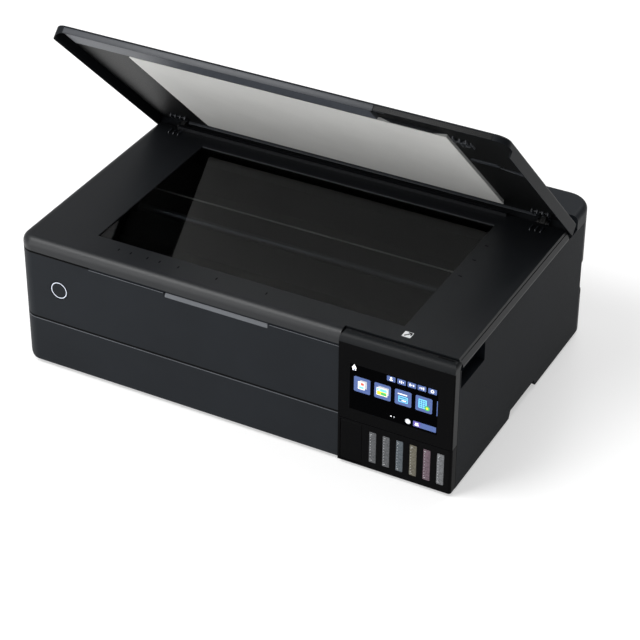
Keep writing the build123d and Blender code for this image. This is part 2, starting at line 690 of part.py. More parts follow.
with BuildPart() as cassette_upper:
    open_tray(
        (TRAY_X0, TRAY_X1),
        (CASSETTE_Y0, CASSETTE_Y1),
        (UPPER_Z, UPPER_Z + UPPER_H),
        CASSETTE_WALL,
    )
    with BuildSketch(facing(CASSETTE_Y0)):
        with Locations(((TRAY_X0 + TRAY_X1) / 2, UPPER_Z + UPPER_H - GRIP_DROP)):
            SlotOverall(GRIP_CUT_W, GRIP_CUT_H)
    extrude(amount=-GRIP_DEPTH, mode=Mode.SUBTRACT)
save(cassette_upper, "cassette_upper")

# Output tray and the extension that slides out of it
OUTPUT_Z = UPPER_Z + UPPER_H + RUN
OUTPUT_Y0 = FACE_Y + OUTPUT_FRONT
OUTPUT_Y1 = CASSETTE_Y1 - 38.0
EXT_MARGIN = 30.0
EXT_T = 1.6
EXT_CORNER_R = 8.0
EXT_BACK = OUTPUT_Y1 - 40.0
SLOT_Z = OUTPUT_Z + (OUTPUT_H - EXT_T) / 2 - RUN

with BuildPart() as output_tray:
    slab((TRAY_X0, TRAY_X1), (OUTPUT_Y0, OUTPUT_Y1), (OUTPUT_Z, OUTPUT_Z + OUTPUT_H))
    slab(
        (TRAY_X0 + EXT_MARGIN - RUN, TRAY_X1 - EXT_MARGIN + RUN),
        (OUTPUT_Y0, EXT_BACK + RUN),
        (SLOT_Z, SLOT_Z + EXT_T + 2 * RUN),
        mode=Mode.SUBTRACT,
    )
save(output_tray, "output_tray")

with BuildPart() as tray_extension:
    with BuildSketch(Plane.XY.offset(SLOT_Z + RUN)) as ext_plan:
        with Locations(((TRAY_X0 + TRAY_X1) / 2, (OUTPUT_Y0 + EXT_BACK) / 2)):
            Rectangle(TRAY_X1 - TRAY_X0 - 2 * EXT_MARGIN, EXT_BACK - OUTPUT_Y0)
        fillet(ext_plan.vertices().sort_by(Axis.Y)[:2], EXT_CORNER_R)
    extrude(amount=EXT_T)
save(tray_extension, "tray_extension")


# Ink bezel with six sight windows and the card door's opening
BEZEL_TOP = PANEL_BOTTOM - SEAM
BEZEL_BOTTOM = FOOT_H + 0.5
BEZEL_R = 3.0
DOOR_MARGIN = 2.0   # bezel above and below the door
DOOR_PIN_IN = 1.5   # hinge axis behind the door's left edge
DOOR_X0 = BLOCK_X + WALL
DOOR_X1 = DOOR_X0 + DOOR_W + 2 * RUN
DOOR_Z0 = BEZEL_BOTTOM + DOOR_MARGIN
DOOR_Z1 = BEZEL_TOP - DOOR_MARGIN
DOOR_T = 2.3
DOOR_AXIS_X = DOOR_X0 + RUN + DOOR_PIN_IN
DOOR_AXIS_Y = FRONT_Y + DOOR_T / 2
DOOR_PIN_R = 0.8
TANK_XS = [TANK_X0 + i * TANK_PITCH for i in range(TANK_COUNT)]
WINDOW_H = WINDOW_Z1 - WINDOW_Z0
WINDOW_R = 1.0
WINDOW_Z = (WINDOW_Z0 + WINDOW_Z1) / 2

with BuildPart() as tank_bezel:
    slab((BLOCK_X, HALF_W), (FRONT_Y, BLOCK_BACK), (BEZEL_BOTTOM, BEZEL_TOP))
    fillet(tank_bezel.edges().filter_by(Axis.Z).group_by(Axis.Y)[0].sort_by(Axis.X)[-1:], BEZEL_R)
    slab(
        (BLOCK_X + WALL, INNER_W),
        (FRONT_Y + WALL, BLOCK_BACK),
        (BEZEL_BOTTOM, BEZEL_TOP),
        mode=Mode.SUBTRACT,
    )
    slab((DOOR_X0, DOOR_X1), (FRONT_Y, FRONT_Y + WALL), (DOOR_Z0, DOOR_Z1), mode=Mode.SUBTRACT)
    with BuildSketch(facing(FRONT_Y)):
        for tank_x in TANK_XS:
            with Locations((tank_x, WINDOW_Z)):
                RectangleRounded(WINDOW_W, WINDOW_H, WINDOW_R)
    extrude(amount=-WALL, mode=Mode.SUBTRACT)
    with BuildSketch(Plane.XY.offset(BEZEL_BOTTOM)):
        with Locations((DOOR_AXIS_X, DOOR_AXIS_Y)):
            Circle(DOOR_PIN_R + FIT)
    extrude(amount=BEZEL_TOP - BEZEL_BOTTOM, mode=Mode.SUBTRACT)
save(tank_bezel, "tank_bezel")

# Card door, hinged on upright pins at its left edge
with BuildPart() as card_door:
    slab((DOOR_X0 + RUN, DOOR_X1 - RUN), (FRONT_Y, FRONT_Y + DOOR_T), (DOOR_Z0 + RUN, DOOR_Z1 - RUN))
    fillet(card_door.edges().filter_by(Axis.Z).group_by(Axis.X)[0], DOOR_T / 2 - FIT)
    chamfer(card_door.edges().group_by(Axis.Y)[0].filter_by(Axis.X), EDGE)
    with BuildSketch(Plane.XY.offset(BEZEL_BOTTOM)):
        with Locations((DOOR_AXIS_X, DOOR_AXIS_Y)):
            Circle(DOOR_PIN_R)
    extrude(amount=BEZEL_TOP - BEZEL_BOTTOM)
save(card_door, "card_door")

# Bracket behind the control panel, with the panel's hinge ears
BRACKET_T = 2.5
BRACKET_Y = TANK_STEP_Y - 1.0 - BRACKET_T
BRACKET_X1 = HALF_W - RECESS_DEPTH - WALL - RUN
BRACKET_TOP = FACE_TOP - RUN
EAR_XS = (BLOCK_X + 16.0, HALF_W - 18.0)
EAR_W = 5.0
EAR_R = 4.2
EAR_ROOT = FACE_TOP - 25.5
LEG_X1 = DOOR_X1 + 2.0

with BuildPart() as panel_bracket:
    slab((BLOCK_X + WALL, BRACKET_X1), (BRACKET_Y, BRACKET_Y + BRACKET_T), (BEZEL_TOP, BRACKET_TOP))
    slab((BLOCK_X + WALL, LEG_X1), (BRACKET_Y, BRACKET_Y + BRACKET_T), (FLOOR_TOP, BEZEL_TOP))
    slab((BRACKET_X1, INNER_W), (BRACKET_Y, BRACKET_Y + BRACKET_T), (BEZEL_TOP, EAR_ROOT))
    for ear_x in EAR_XS:
        ear_span = (ear_x - EAR_W / 2, ear_x + EAR_W / 2)
        rod_x(ear_span, PANEL_AXIS_Y, PANEL_AXIS_Z, EAR_R)
        side_profile(
            ear_span,
            [
                (PANEL_AXIS_Y + EAR_R, PANEL_AXIS_Z),
                (PANEL_AXIS_Y + EAR_R, FACE_TOP),
                (BRACKET_Y + BRACKET_T, FACE_TOP - 2 * EAR_R),
                (BRACKET_Y + BRACKET_T, EAR_ROOT),
                (BRACKET_Y, EAR_ROOT),
                (PANEL_AXIS_Y + EAR_R / 3, FACE_TOP - EAR_R),
                (PANEL_AXIS_Y + EAR_R / 3, PANEL_AXIS_Z - EAR_R / 2),
            ],
        )
        rod_x(ear_span, PANEL_AXIS_Y, PANEL_AXIS_Z, PIN_R + FIT, mode=Mode.SUBTRACT)
save(panel_bracket, "panel_bracket")

# Card reader behind the card door
READER_Y = FRONT_Y + WALL + 1.6
SD_H = 24.4
SD_W = 2.6
USB_A_W = 5.4
USB_A_H = 12.8
READER_X = (DOOR_X0 + DOOR_X1) / 2 + 1.5
READER_LEFT = 4.0   # reader clear of the door's hinge
READER_RIM = 1.0
READER_DEEP = 10.0
SD_X = READER_X - 4.0
SD_Z = DOOR_Z1 - 17.0
USB_A_X = READER_X + 3.0
USB_A_Z = DOOR_Z0 + 12.0
TONGUE_T = 2.0

with BuildPart() as card_reader:
    reader_span = (DOOR_X0 + READER_LEFT, DOOR_X1 - READER_RIM)
    slab(reader_span, (READER_Y, BRACKET_Y), (FLOOR_TOP, DOOR_Z1 - READER_RIM))
    with BuildSketch(facing(READER_Y)):
        with Locations((SD_X, SD_Z)):
            Rectangle(SD_W, SD_H)
        with Locations((USB_A_X, USB_A_Z)):
            Rectangle(USB_A_W, USB_A_H)
    extrude(amount=-READER_DEEP, mode=Mode.SUBTRACT)
    slab(
        (USB_A_X - TONGUE_T / 2, USB_A_X + TONGUE_T / 2),
        (READER_Y + READER_RIM, READER_Y + READER_DEEP),
        (USB_A_Z - USB_A_H / 2 + READER_RIM, USB_A_Z + USB_A_H / 2 - READER_RIM),
    )
save(card_reader, "card_reader")

# Ink tanks: a tall body with a sight window in front and a filler neck on top
NECK_R = 4.0
NECK_H = 6.0
NECK_Y = FRONT_Y + 61.5
SIGHT_OUT = 1.7
SIGHT_R = 0.8
TANK_LEDGE = BEZEL_TOP - 1.0
TANK_NAMES = ("black", "photo_black", "cyan", "yellow", "magenta", "grey")

for tank_x, tank_name in zip(TANK_XS, TANK_NAMES):
    with BuildPart() as ink_tank:
        side_profile(
            (tank_x - TANK_W / 2, tank_x + TANK_W / 2),
            [
                (FRONT_Y + WALL, FLOOR_TOP),
                (TANK_BACK_Y, FLOOR_TOP),
                (TANK_BACK_Y, TANK_TOP),
                (TANK_STEP_Y, TANK_TOP),
                (TANK_STEP_Y, TANK_LEDGE),
                (FRONT_Y + WALL, TANK_LEDGE),
            ],
        )
        with BuildSketch(facing(FRONT_Y + WALL)):
            with Locations((tank_x, WINDOW_Z)):
                RectangleRounded(WINDOW_W - 2 * RUN, WINDOW_H - 2 * RUN, SIGHT_R)
        extrude(amount=SIGHT_OUT)
        with BuildSketch(Plane.XY.offset(TANK_TOP)):
            with Locations((tank_x, NECK_Y)):
                Circle(NECK_R)
        extrude(amount=NECK_H)
    save(ink_tank, f"tank_{tank_name}")

# Stoppers on the filler necks
CAP_R = 6.2
CAP_H = 8.0

with BuildPart() as tank_caps:
    for tank_x in TANK_XS:
        with BuildSketch(Plane.XY.offset(TANK_TOP)):
            with Locations((tank_x, NECK_Y)):
                Circle(CAP_R)
        extrude(amount=CAP_H)
        with BuildSketch(Plane.XY.offset(TANK_TOP)):
            with Locations((tank_x, NECK_Y)):
                Circle(NECK_R + FIT)
        extrude(amount=NECK_H + FIT, mode=Mode.SUBTRACT)
save(tank_caps, "tank_caps")

# Cover over the filler caps
TANK_COVER_T = 2.0
CAP_ROOM = 1.0
TANK_COVER_Z = TANK_TOP + CAP_H + CAP_ROOM

with BuildPart() as tank_cover:
    cover_x = (TANK_XS[0] - TANK_W / 2, TANK_XS[-1] + TANK_W / 2)
    cover_y = (TANK_STEP_Y, TANK_BACK_Y)
    slab(cover_x, cover_y, (TANK_TOP, TANK_COVER_Z + TANK_COVER_T))
    slab(
        cover_x,
        (cover_y[0] + TANK_COVER_T, cover_y[1] - TANK_COVER_T),
        (TANK_TOP, TANK_COVER_Z),
        mode=Mode.SUBTRACT,
    )
save(tank_cover, "tank_cover")

# Control panel: a hollow housing with a round top edge, hinged on two pins
FACE_T = 1.8
HOUSING_T = 2.0
BARREL_BACK = 45.0
FACE_R = 5.0
FACE_EDGE_R = 1.5
BACK_LEDGE = (3.4, 1.0)   # step behind and above the hinge axis
BACK_DROP = 1.5           # top of the back wall below the hinge axis
HOLLOW_DROP = 12.0        # hollow below the hinge axis
EAR_SLOT = 14.0     # slot for each hinge ear, below the hinge axis
BARREL_Y = PANEL_AXIS_Y + PANEL_AXIS_R * cos(radians(BARREL_BACK))
BARREL_Z = PANEL_AXIS_Z + PANEL_AXIS_R * sin(radians(BARREL_BACK))
FRONT_ARC = (PANEL_AXIS_Y - PANEL_AXIS_R * cos(pi / 4), PANEL_AXIS_Z + PANEL_AXIS_R * sin(pi / 4))

with BuildPart() as panel_housing:
    with BuildSketch(Plane.YZ.offset(BLOCK_X)):
        with BuildLine():
            Polyline(
                (BARREL_Y, BARREL_Z),
                (PANEL_AXIS_Y + BACK_LEDGE[0], PANEL_AXIS_Z + BACK_LEDGE[1]),
                (BLOCK_BACK, PANEL_AXIS_Z - BACK_DROP),
                (BLOCK_BACK, PANEL_BOTTOM),
                (FRONT_Y + FACE_T, PANEL_BOTTOM),
                (FRONT_Y + FACE_T, PANEL_AXIS_Z),
                (FRONT_Y, PANEL_AXIS_Z),
            )
            ThreePointArc((FRONT_Y, PANEL_AXIS_Z), FRONT_ARC, (PANEL_AXIS_Y, BED_TOP))
            ThreePointArc(
                (PANEL_AXIS_Y, BED_TOP),
                (PANEL_AXIS_Y + PANEL_AXIS_R * sin(pi / 8), PANEL_AXIS_Z + PANEL_AXIS_R * cos(pi / 8)),
                (BARREL_Y, BARREL_Z),
            )
        make_face()
    extrude(amount=BLOCK_W)
    with BuildSketch(facing(BARREL_Y)) as panel_front:
        with Locations(((BLOCK_X + HALF_W) / 2, (PANEL_BOTTOM + BED_TOP) / 2)):
            Rectangle(BLOCK_W, BED_TOP - PANEL_BOTTOM)
        fillet(panel_front.vertices().group_by(Axis.Y)[-1], FACE_R)
    extrude(amount=BARREL_Y - FRONT_Y, mode=Mode.INTERSECT)
    slab(
        (BLOCK_X + HOUSING_T, HALF_W - HOUSING_T),
        (FRONT_Y + FACE_T + HOUSING_T, BLOCK_BACK),
        (PANEL_BOTTOM + HOUSING_T, PANEL_AXIS_Z - HOLLOW_DROP),
        mode=Mode.SUBTRACT,
    )
    for ear_x in EAR_XS:
        gap_x = (ear_x - EAR_W / 2 - RUN, ear_x + EAR_W / 2 + RUN)
        slab(
            gap_x,
            (PANEL_AXIS_Y - EAR_R - RUN, BARREL_Y + RUN),
            (PANEL_AXIS_Z - EAR_SLOT, PANEL_AXIS_Z + EAR_R + RUN),
            mode=Mode.SUBTRACT,
        )
        rod_x(gap_x, PANEL_AXIS_Y, PANEL_AXIS_Z, PIN_R)
save(panel_housing, "panel_housing")

# Glossy face of the panel, with the display's window
SCREEN_X0 = BLOCK_X + 13.0
SCREEN_X1 = HALF_W - 17.5
SCREEN_Z0 = PANEL_BOTTOM + 14.0
SCREEN_Z1 = PANEL_AXIS_Z - 23.0

with BuildPart() as panel_face:
    with BuildSketch(facing(FRONT_Y + FACE_T)) as face_outline:
        with Locations(((BLOCK_X + HALF_W) / 2, (PANEL_BOTTOM + PANEL_AXIS_Z) / 2)):
            Rectangle(BLOCK_W, PANEL_AXIS_Z - PANEL_BOTTOM)
        with Locations(((SCREEN_X0 + SCREEN_X1) / 2, (SCREEN_Z0 + SCREEN_Z1) / 2)):
            Rectangle(SCREEN_X1 - SCREEN_X0, SCREEN_Z1 - SCREEN_Z0, mode=Mode.SUBTRACT)
    extrude(amount=FACE_T)
    fillet(panel_face.edges().filter_by(Axis.Z).group_by(Axis.Y)[0].sort_by(Axis.X)[-1:], FACE_EDGE_R)
save(panel_face, "panel_face")

with BuildPart() as display:
    slab((SCREEN_X0, SCREEN_X1), (FRONT_Y, FRONT_Y + FACE_T), (SCREEN_Z0, SCREEN_Z1))
save(display, "display")


def bed_plan(grow):
    """Sketch of the scanner bed from above, grown all round by the given gap."""
    left = -HALF_W - grow
    right = HALF_W + grow
    front = FACE_Y - grow
    rear = BED_REAR + grow
    corner = CORNER_R + grow
    notch = (NOTCH_X + grow, NOTCH_Y - grow)
    with BuildSketch() as plan:
        with BuildLine():
            face = Line((notch[0], front), (left + corner, front))
            bend = TangentArc(face @ 1, (left, front + corner), tangent=face % 1)
            Polyline(bend @ 1, (left, rear), (right, rear), (right, notch[1]), notch, face @ 0)
        make_face()
    return plan.sketch


def bed_blank(grow):
    """Solid form of the bed with its round front and left edges and its right bevel."""
    top = BED_TOP + grow
    bottom = FACE_TOP + SEAM
    with BuildPart() as blank:
        extrude(Pos(0, 0, bottom) * bed_plan(grow), amount=top - bottom)
        rim = blank.edges().group_by(Axis.Z)[-1]
        front_edge = rim.filter_by(Axis.X).sort_by(Axis.Y)[:1]
        left_edge = rim.filter_by(Axis.Y).sort_by(Axis.X)[:1]
        corner_edge = rim.filter_by(GeomType.CIRCLE)
        fillet(front_edge + left_edge + corner_edge, BULLNOSE_R)
        edge_x = HALF_W + grow
        with BuildSketch(facing(BED_REAR + grow)) as bevel:
            Polygon(
                (edge_x - BEVEL_IN, top),
                (edge_x, top),
                (edge_x, top - BEVEL_DOWN),
                align=None,
            )
        extrude(bevel.sketch, amount=BED_REAR - NOTCH_Y + 2 * grow, mode=Mode.SUBTRACT)
    return blank.part


# Scanner bed: a skirted plate with the glass window, a rear ledge and the hinge trough
SKIRT_SIDE = SIDE_TOP + SEAM
SKIRT_IN = HALF_W - RECESS_DEPTH - WALL - RUN
TROUGH_W = HALF_W - 10.5
SCAN_CHEEK_R = 3.8

with BuildPart() as scanner_bed:
    add(bed_blank(0))
    extrude(Pos(0, 0, FACE_TOP) * bed_plan(-WALL), amount=PLATE_Z - FACE_TOP, mode=Mode.SUBTRACT)
    for side, skirt_y in ((-1, FACE_Y + CORNER_R), (1, NOTCH_Y)):
        slab(
            sorted((side * HALF_W, side * SKIRT_IN)),
            (skirt_y, BED_REAR),
            (FACE_TOP, SKIRT_SIDE),
            mode=Mode.SUBTRACT,
        )
    slab((-TROUGH_W, TROUGH_W), (BED_REAR - WALL, BED_REAR), (TROUGH_TOP - WALL, PLATE_Z))
    slab((-TROUGH_W, TROUGH_W), (BED_REAR - WALL, BED_REAR + TROUGH_DEPTH), (TROUGH_TOP - WALL, TROUGH_TOP))
    slab((LEDGE_X0, LEDGE_X1), (BED_REAR - LEDGE_D, BED_REAR), (BED_TOP, BED_TOP + LEDGE_H))
    slab(
        (WINDOW_LEFT, WINDOW_RIGHT),
        (WINDOW_FRONT, WINDOW_REAR),
        (PLATE_Z, BED_TOP),
        mode=Mode.SUBTRACT,
    )
    slab(
        (WINDOW_LEFT - GLASS_LAND, WINDOW_RIGHT + GLASS_LAND),
        (WINDOW_FRONT - GLASS_LAND, WINDOW_REAR + GLASS_LAND),
        (PLATE_Z, BED_TOP - GLASS_RECESS),
        mode=Mode.SUBTRACT,
    )
    rod_x((BLOCK_X - SEAM, HALF_W), PANEL_AXIS_Y, PANEL_AXIS_Z, PANEL_AXIS_R + RUN, mode=Mode.SUBTRACT)
    for side in (-1, 1):
        for cheek in (-1, 1):
            cheek_in = side * SCAN_LUG_X + cheek * (SCAN_LUG_W / 2 + RUN)
            cheek_x = sorted((cheek_in, cheek_in + cheek * CHEEK_W))
            rod_x(cheek_x, SCAN_AXIS_Y, SCAN_AXIS_Z, SCAN_CHEEK_R)
            slab(
                cheek_x,
                (SCAN_AXIS_Y - SCAN_CHEEK_R, SCAN_AXIS_Y + SCAN_CHEEK_R),
                (TROUGH_TOP, SCAN_AXIS_Z),
            )
            rod_x(cheek_x, SCAN_AXIS_Y, SCAN_AXIS_Z, PIN_R + FIT, mode=Mode.SUBTRACT)
save(scanner_bed, "scanner_bed")

# Scanner glass under the window
GLASS_TOP = BED_TOP - GLASS_RECESS

with BuildPart() as scanner_glass:
    slab(
        (WINDOW_LEFT - GLASS_LAND, WINDOW_RIGHT + GLASS_LAND),
        (WINDOW_FRONT - GLASS_LAND, WINDOW_REAR + GLASS_LAND),
        (GLASS_TOP - GLASS_T, GLASS_TOP),
    )
save(scanner_glass, "scanner_glass")

# Scanner tray: the pan under the bed, with the ends of the scan rail in its walls
PAN_X = HALF_W - 14.5
PAN_Y0 = FACE_Y + 29.0
PAN_Y1 = BED_REAR - WALL - 1.5
PAN_T = 2.0
PAN_RIB_Y = 60.0    # stiffening ribs in front of and behind the rail
ROD_Y = GLASS_MID
ROD_Z = PAN_Z + 14.0
ROD_R = 4.0

with BuildPart() as scanner_tray:
    slab((-PAN_X, PAN_X), (PAN_Y0, PAN_Y1), (PAN_Z, PLATE_Z))
    pan_in = (-PAN_X + PAN_T, PAN_X - PAN_T)
    slab(pan_in, (PAN_Y0 + PAN_T, PAN_Y1 - PAN_T), (PAN_Z + PAN_T, PLATE_Z), mode=Mode.SUBTRACT)
    for rib_y in (ROD_Y - PAN_RIB_Y, ROD_Y + PAN_RIB_Y):
        slab(pan_in, (rib_y - PAN_T / 2, rib_y + PAN_T / 2), (PAN_Z + PAN_T, ROD_Z))
    rod_x((-PAN_X, PAN_X), ROD_Y, ROD_Z, ROD_R, mode=Mode.SUBTRACT)
save(scanner_tray, "scanner_tray")

with BuildPart() as scan_rail:
    rod_x((-PAN_X, PAN_X), ROD_Y, ROD_Z, ROD_R)
save(scan_rail, "scan_rail")

# Scan head: a bar across the glass on a saddle that slides along the rail
HEAD_X = WINDOW_LEFT - 32.0
HEAD_W = 20.0
HEAD_OVER = 2.75      # bar past the glass window at each end
HEAD_GAP = 0.5
HEAD_LIFT = 2.0     # underside of the bar above the rail's centre
LENS_W = 3.0        # slot for the lens row along the top of the bar
LENS_D = 3.0
LENS_END = 6.0
SADDLE_W = 34.0
SADDLE_R = 8.0

with BuildPart() as scan_head:
    head_y = (WINDOW_FRONT - HEAD_OVER, WINDOW_REAR + HEAD_OVER)
    head_top = GLASS_TOP - GLASS_T - HEAD_GAP
    slab((HEAD_X - HEAD_W / 2, HEAD_X + HEAD_W / 2), head_y, (ROD_Z + HEAD_LIFT, head_top))
    rod_x((HEAD_X - SADDLE_W / 2, HEAD_X + SADDLE_W / 2), ROD_Y, ROD_Z, SADDLE_R)
    rod_x((HEAD_X - SADDLE_W / 2, HEAD_X + SADDLE_W / 2), ROD_Y, ROD_Z, ROD_R + FIT, mode=Mode.SUBTRACT)
    slab(
        (HEAD_X - LENS_W / 2, HEAD_X + LENS_W / 2),
        (head_y[0] + LENS_END, head_y[1] - LENS_END),
        (head_top - LENS_D, head_top),
        mode=Mode.SUBTRACT,
    )
save(scan_head, "scan_head")

# Hinge posts for the lid: pairs of braced cheeks on the trough
POST_FOOT = 9.0
POST_TAPER = 0.9      # head of the post, in knuckle radii
POST_RISE = 0.4
BRACE_FRONT = 1.5     # three-cornered window in each cheek
BRACE_REAR = 4.0
BRACE_FOOT = 2.0
BRACE_TIP = 0.8

with BuildPart() as hinge_posts:
    for side in (-1, 1):
        for cheek in (-1, 1):
            cheek_in = side * HINGE_X + cheek * (ARM_W / 2 + RUN)
            cheek_x = sorted((cheek_in, cheek_in + cheek * CHEEK_W))
            side_profile(
                cheek_x,
                [
                    (LID_AXIS_Y - POST_FOOT / 2, TROUGH_TOP),
                    (LID_AXIS_Y + POST_FOOT, TROUGH_TOP),
                    (LID_AXIS_Y + KNUCKLE_R * POST_TAPER, LID_AXIS_Z + KNUCKLE_R * POST_RISE),
                    (LID_AXIS_Y - KNUCKLE_R * POST_TAPER, LID_AXIS_Z + KNUCKLE_R * POST_RISE),
                ],
            )
            rod_x(cheek_x, LID_AXIS_Y, LID_AXIS_Z, KNUCKLE_R)
            side_profile(
                cheek_x,
                [
                    (LID_AXIS_Y - BRACE_FRONT, TROUGH_TOP + BRACE_FOOT),
                    (LID_AXIS_Y + POST_FOOT - BRACE_REAR, TROUGH_TOP + BRACE_FOOT),
                    (LID_AXIS_Y + BRACE_TIP, LID_AXIS_Z - KNUCKLE_R),
                ],
                mode=Mode.SUBTRACT,
            )
            rod_x(cheek_x, LID_AXIS_Y, LID_AXIS_Z, PIN_R + FIT, mode=Mode.SUBTRACT)
save(hinge_posts, "hinge_posts")


def lid_plan(inset):
    """Sketch of the lid from above in its own frame, drawn in by the given wall."""
    width = WIDTH - 2 * inset
    front = LID_FRONT + inset
    rear = LID_TAIL - inset
    with BuildSketch() as plan:
        with Locations((0, (front + rear) / 2)):
            Rectangle(width, rear - front)
        fillet(plan.vertices().group_by(Axis.Y)[0], LID_CORNER_R - inset)
    return plan.sketch


# Lid shell, hollow underneath, cut to close over the bed and the control panel
HINGE_GAP = ARM_W / 2 + 2 * RUN + CHEEK_W + RUN
CLOSED = LID.location * Pos(0, -LID_AXIS_Y, -LID_AXIS_Z)
BED_CLEARANCE = CLOSED * bed_blank(RUN)
CREST_R = 3.0
PANEL_CUT = 14.0    # rim cut away behind the control panel

with BuildPart() as lid_shell:
    extrude(LID.offset(LID_RIM).location * lid_plan(0), amount=LID_H)
    crest = lid_shell.faces().sort_by(Axis(LID.origin, LID.z_dir))[-1]
    fillet(crest.edges(), CREST_R)
    extrude(LID.offset(LID_RIM).location * lid_plan(LID_WALL), amount=LID_H - LID_WALL, mode=Mode.SUBTRACT)
    add(BED_CLEARANCE, mode=Mode.SUBTRACT)
    slab(
        (NOTCH_X - RUN, WIDTH / 2),
        (LID_FRONT, NOTCH_Y - LID_AXIS_Y + PANEL_CUT),
        (LID_RIM, BED_TOP + RUN - LID_AXIS_Z),
        plane=LID,
        mode=Mode.SUBTRACT,
    )
    for side in (-1, 1):
        slab(
            (side * HINGE_X - HINGE_GAP, side * HINGE_X + HINGE_GAP),
            (LID_TAIL - LID_WALL, LID_TAIL),
            (LID_RIM, LINER_Z),
            plane=LID,
            mode=Mode.SUBTRACT,
        )
save(lid_shell, "lid_shell")

# Lid liner with a raised front strip
STRIP_D = 14.0
STRIP_H = 3.0
STRIP_X1 = BLOCK_X - 19.5

with BuildPart() as lid_liner:
    extrude(LID.offset(LINER_Z).location * lid_plan(LID_WALL), amount=LINER_T)
    slab(
        (-WIDTH / 2 + LID_CORNER_R, STRIP_X1),
        (LID_FRONT + LID_WALL, LID_FRONT + LID_WALL + STRIP_D),
        (LINER_Z - STRIP_H, LINER_Z),
        plane=LID,
    )
save(lid_liner, "lid_liner")

# Document mat, a foam-backed sheet under the lid
with BuildPart() as document_mat:
    slab(
        (WINDOW_LEFT - MAT_LEFT, WINDOW_RIGHT + MAT_RIGHT),
        (WINDOW_FRONT - MAT_FRONT - LID_AXIS_Y, WINDOW_REAR + MAT_REAR - LID_AXIS_Y),
        (BED_TOP + MAT_GAP - LID_AXIS_Z, LINER_Z),
        plane=LID,
    )
save(document_mat, "document_mat")

# Hinge arms of the lid: knuckles with stub pins
with BuildPart() as lid_hinge_arms:
    for side in (-1, 1):
        arm_x = (side * HINGE_X - ARM_W / 2, side * HINGE_X + ARM_W / 2)
        pin_x = (arm_x[0] - CHEEK_W - RUN, arm_x[1] + CHEEK_W + RUN)
        rod_x(arm_x, LID_AXIS_Y, LID_AXIS_Z, KNUCKLE_R)
        slab(arm_x, (-KNUCKLE_R, KNUCKLE_R - LID_WALL), (0, LINER_Z), plane=LID)
        rod_x(pin_x, LID_AXIS_Y, LID_AXIS_Z, PIN_R)
save(lid_hinge_arms, "lid_hinge_arms")

# Carriage frame: two side plates, the rail and a cross plate under the platen
PLATE_Y0 = EJECT_Y - 24.0
PLATE_Y1 = RAIL_Y + 19.0
CROSS_Z = 55.5
SHOULDER_DROP = 20.0  # rear slope of the side plates
EJECT_OVER = 10.0     # side plates above the eject shaft
MESH_GAP = 0.1
PINION_ROOM = 1.0
PLATEN_Y0 = EJECT_Y + 14.0
PLATEN_Y1 = FEED_Y - 10.0
EJECT_SHAFT_R = 3.0
FEED_SHAFT_R = 4.0
PINION_DISTANCE = GEAR_MODULE * (GEAR_TEETH + PINION_TEETH) / 2 + MESH_GAP
PINION_Y = FEED_Y + PINION_DISTANCE * cos(radians(PINION_ANGLE))
PINION_Z = FEED_Z + PINION_DISTANCE * sin(radians(PINION_ANGLE))
PINION_SHAFT_R = 1.5
DRIVE_SHAFT_R = 1.5

with BuildPart() as carriage_frame:
    for plate_x in (FRAME_X0, FRAME_X1):
        side_profile(
            (plate_x, plate_x + FRAME_T),
            [
                (PLATE_Y0, FLOOR_TOP),
                (PLATE_Y1, FLOOR_TOP),
                (PLATE_Y1, RAIL_Z1 - SHOULDER_DROP),
                (RAIL_Y + FRAME_T, RAIL_Z1),
                (RAIL_Y - RAIL_LIP, RAIL_Z1),
                (PLATE_Y0, EJECT_Z + EJECT_OVER),
            ],
        )
    side_profile(
        (FRAME_X0, FRAME_X1 + FRAME_T),
        [
            (RAIL_Y - RAIL_LIP, RAIL_Z0),
            (RAIL_Y + FRAME_T, RAIL_Z0),
            (RAIL_Y + FRAME_T, RAIL_Z1),
            (RAIL_Y - RAIL_LIP, RAIL_Z1),
            (RAIL_Y - RAIL_LIP, RAIL_Z1 - FRAME_T),
            (RAIL_Y, RAIL_Z1 - FRAME_T),
            (RAIL_Y, RAIL_Z0 + FRAME_T),
            (RAIL_Y - RAIL_LIP, RAIL_Z0 + FRAME_T),
        ],
    )
    slab((FRAME_X0, FRAME_X1 + FRAME_T), (PLATEN_Y0, PLATEN_Y1), (CROSS_Z, CROSS_Z + FRAME_T))
    for plate_x in (FRAME_X0, FRAME_X1):
        bore_x = (plate_x, plate_x + FRAME_T)
        rod_x(bore_x, FEED_Y, FEED_Z, FEED_SHAFT_R + FIT, mode=Mode.SUBTRACT)
        rod_x(bore_x, EJECT_Y, EJECT_Z, EJECT_SHAFT_R + FIT, mode=Mode.SUBTRACT)
    plate_left = (FRAME_X0, FRAME_X0 + FRAME_T)
    rod_x(plate_left, PINION_Y, PINION_Z, PINION_SHAFT_R + PINION_ROOM, mode=Mode.SUBTRACT)
    with BuildSketch(facing(RAIL_Y + FRAME_T)):
        with Locations((DRIVE_X, BELT_Z), (IDLER_X, BELT_Z)):
            Circle(DRIVE_SHAFT_R + FIT)
    extrude(amount=FRAME_T, mode=Mode.SUBTRACT)
save(carriage_frame, "carriage_frame")

# Platen under the print head, with paper ribs
PLATEN_X0 = FRAME_X0 + 57.0
PLATEN_X1 = FRAME_X1 - 100.0
PLATEN_TOP = 63.0
RIB_COUNT = 12
RIB_H = 1.2
RIB_W = 1.6
RIB_END = 3.0

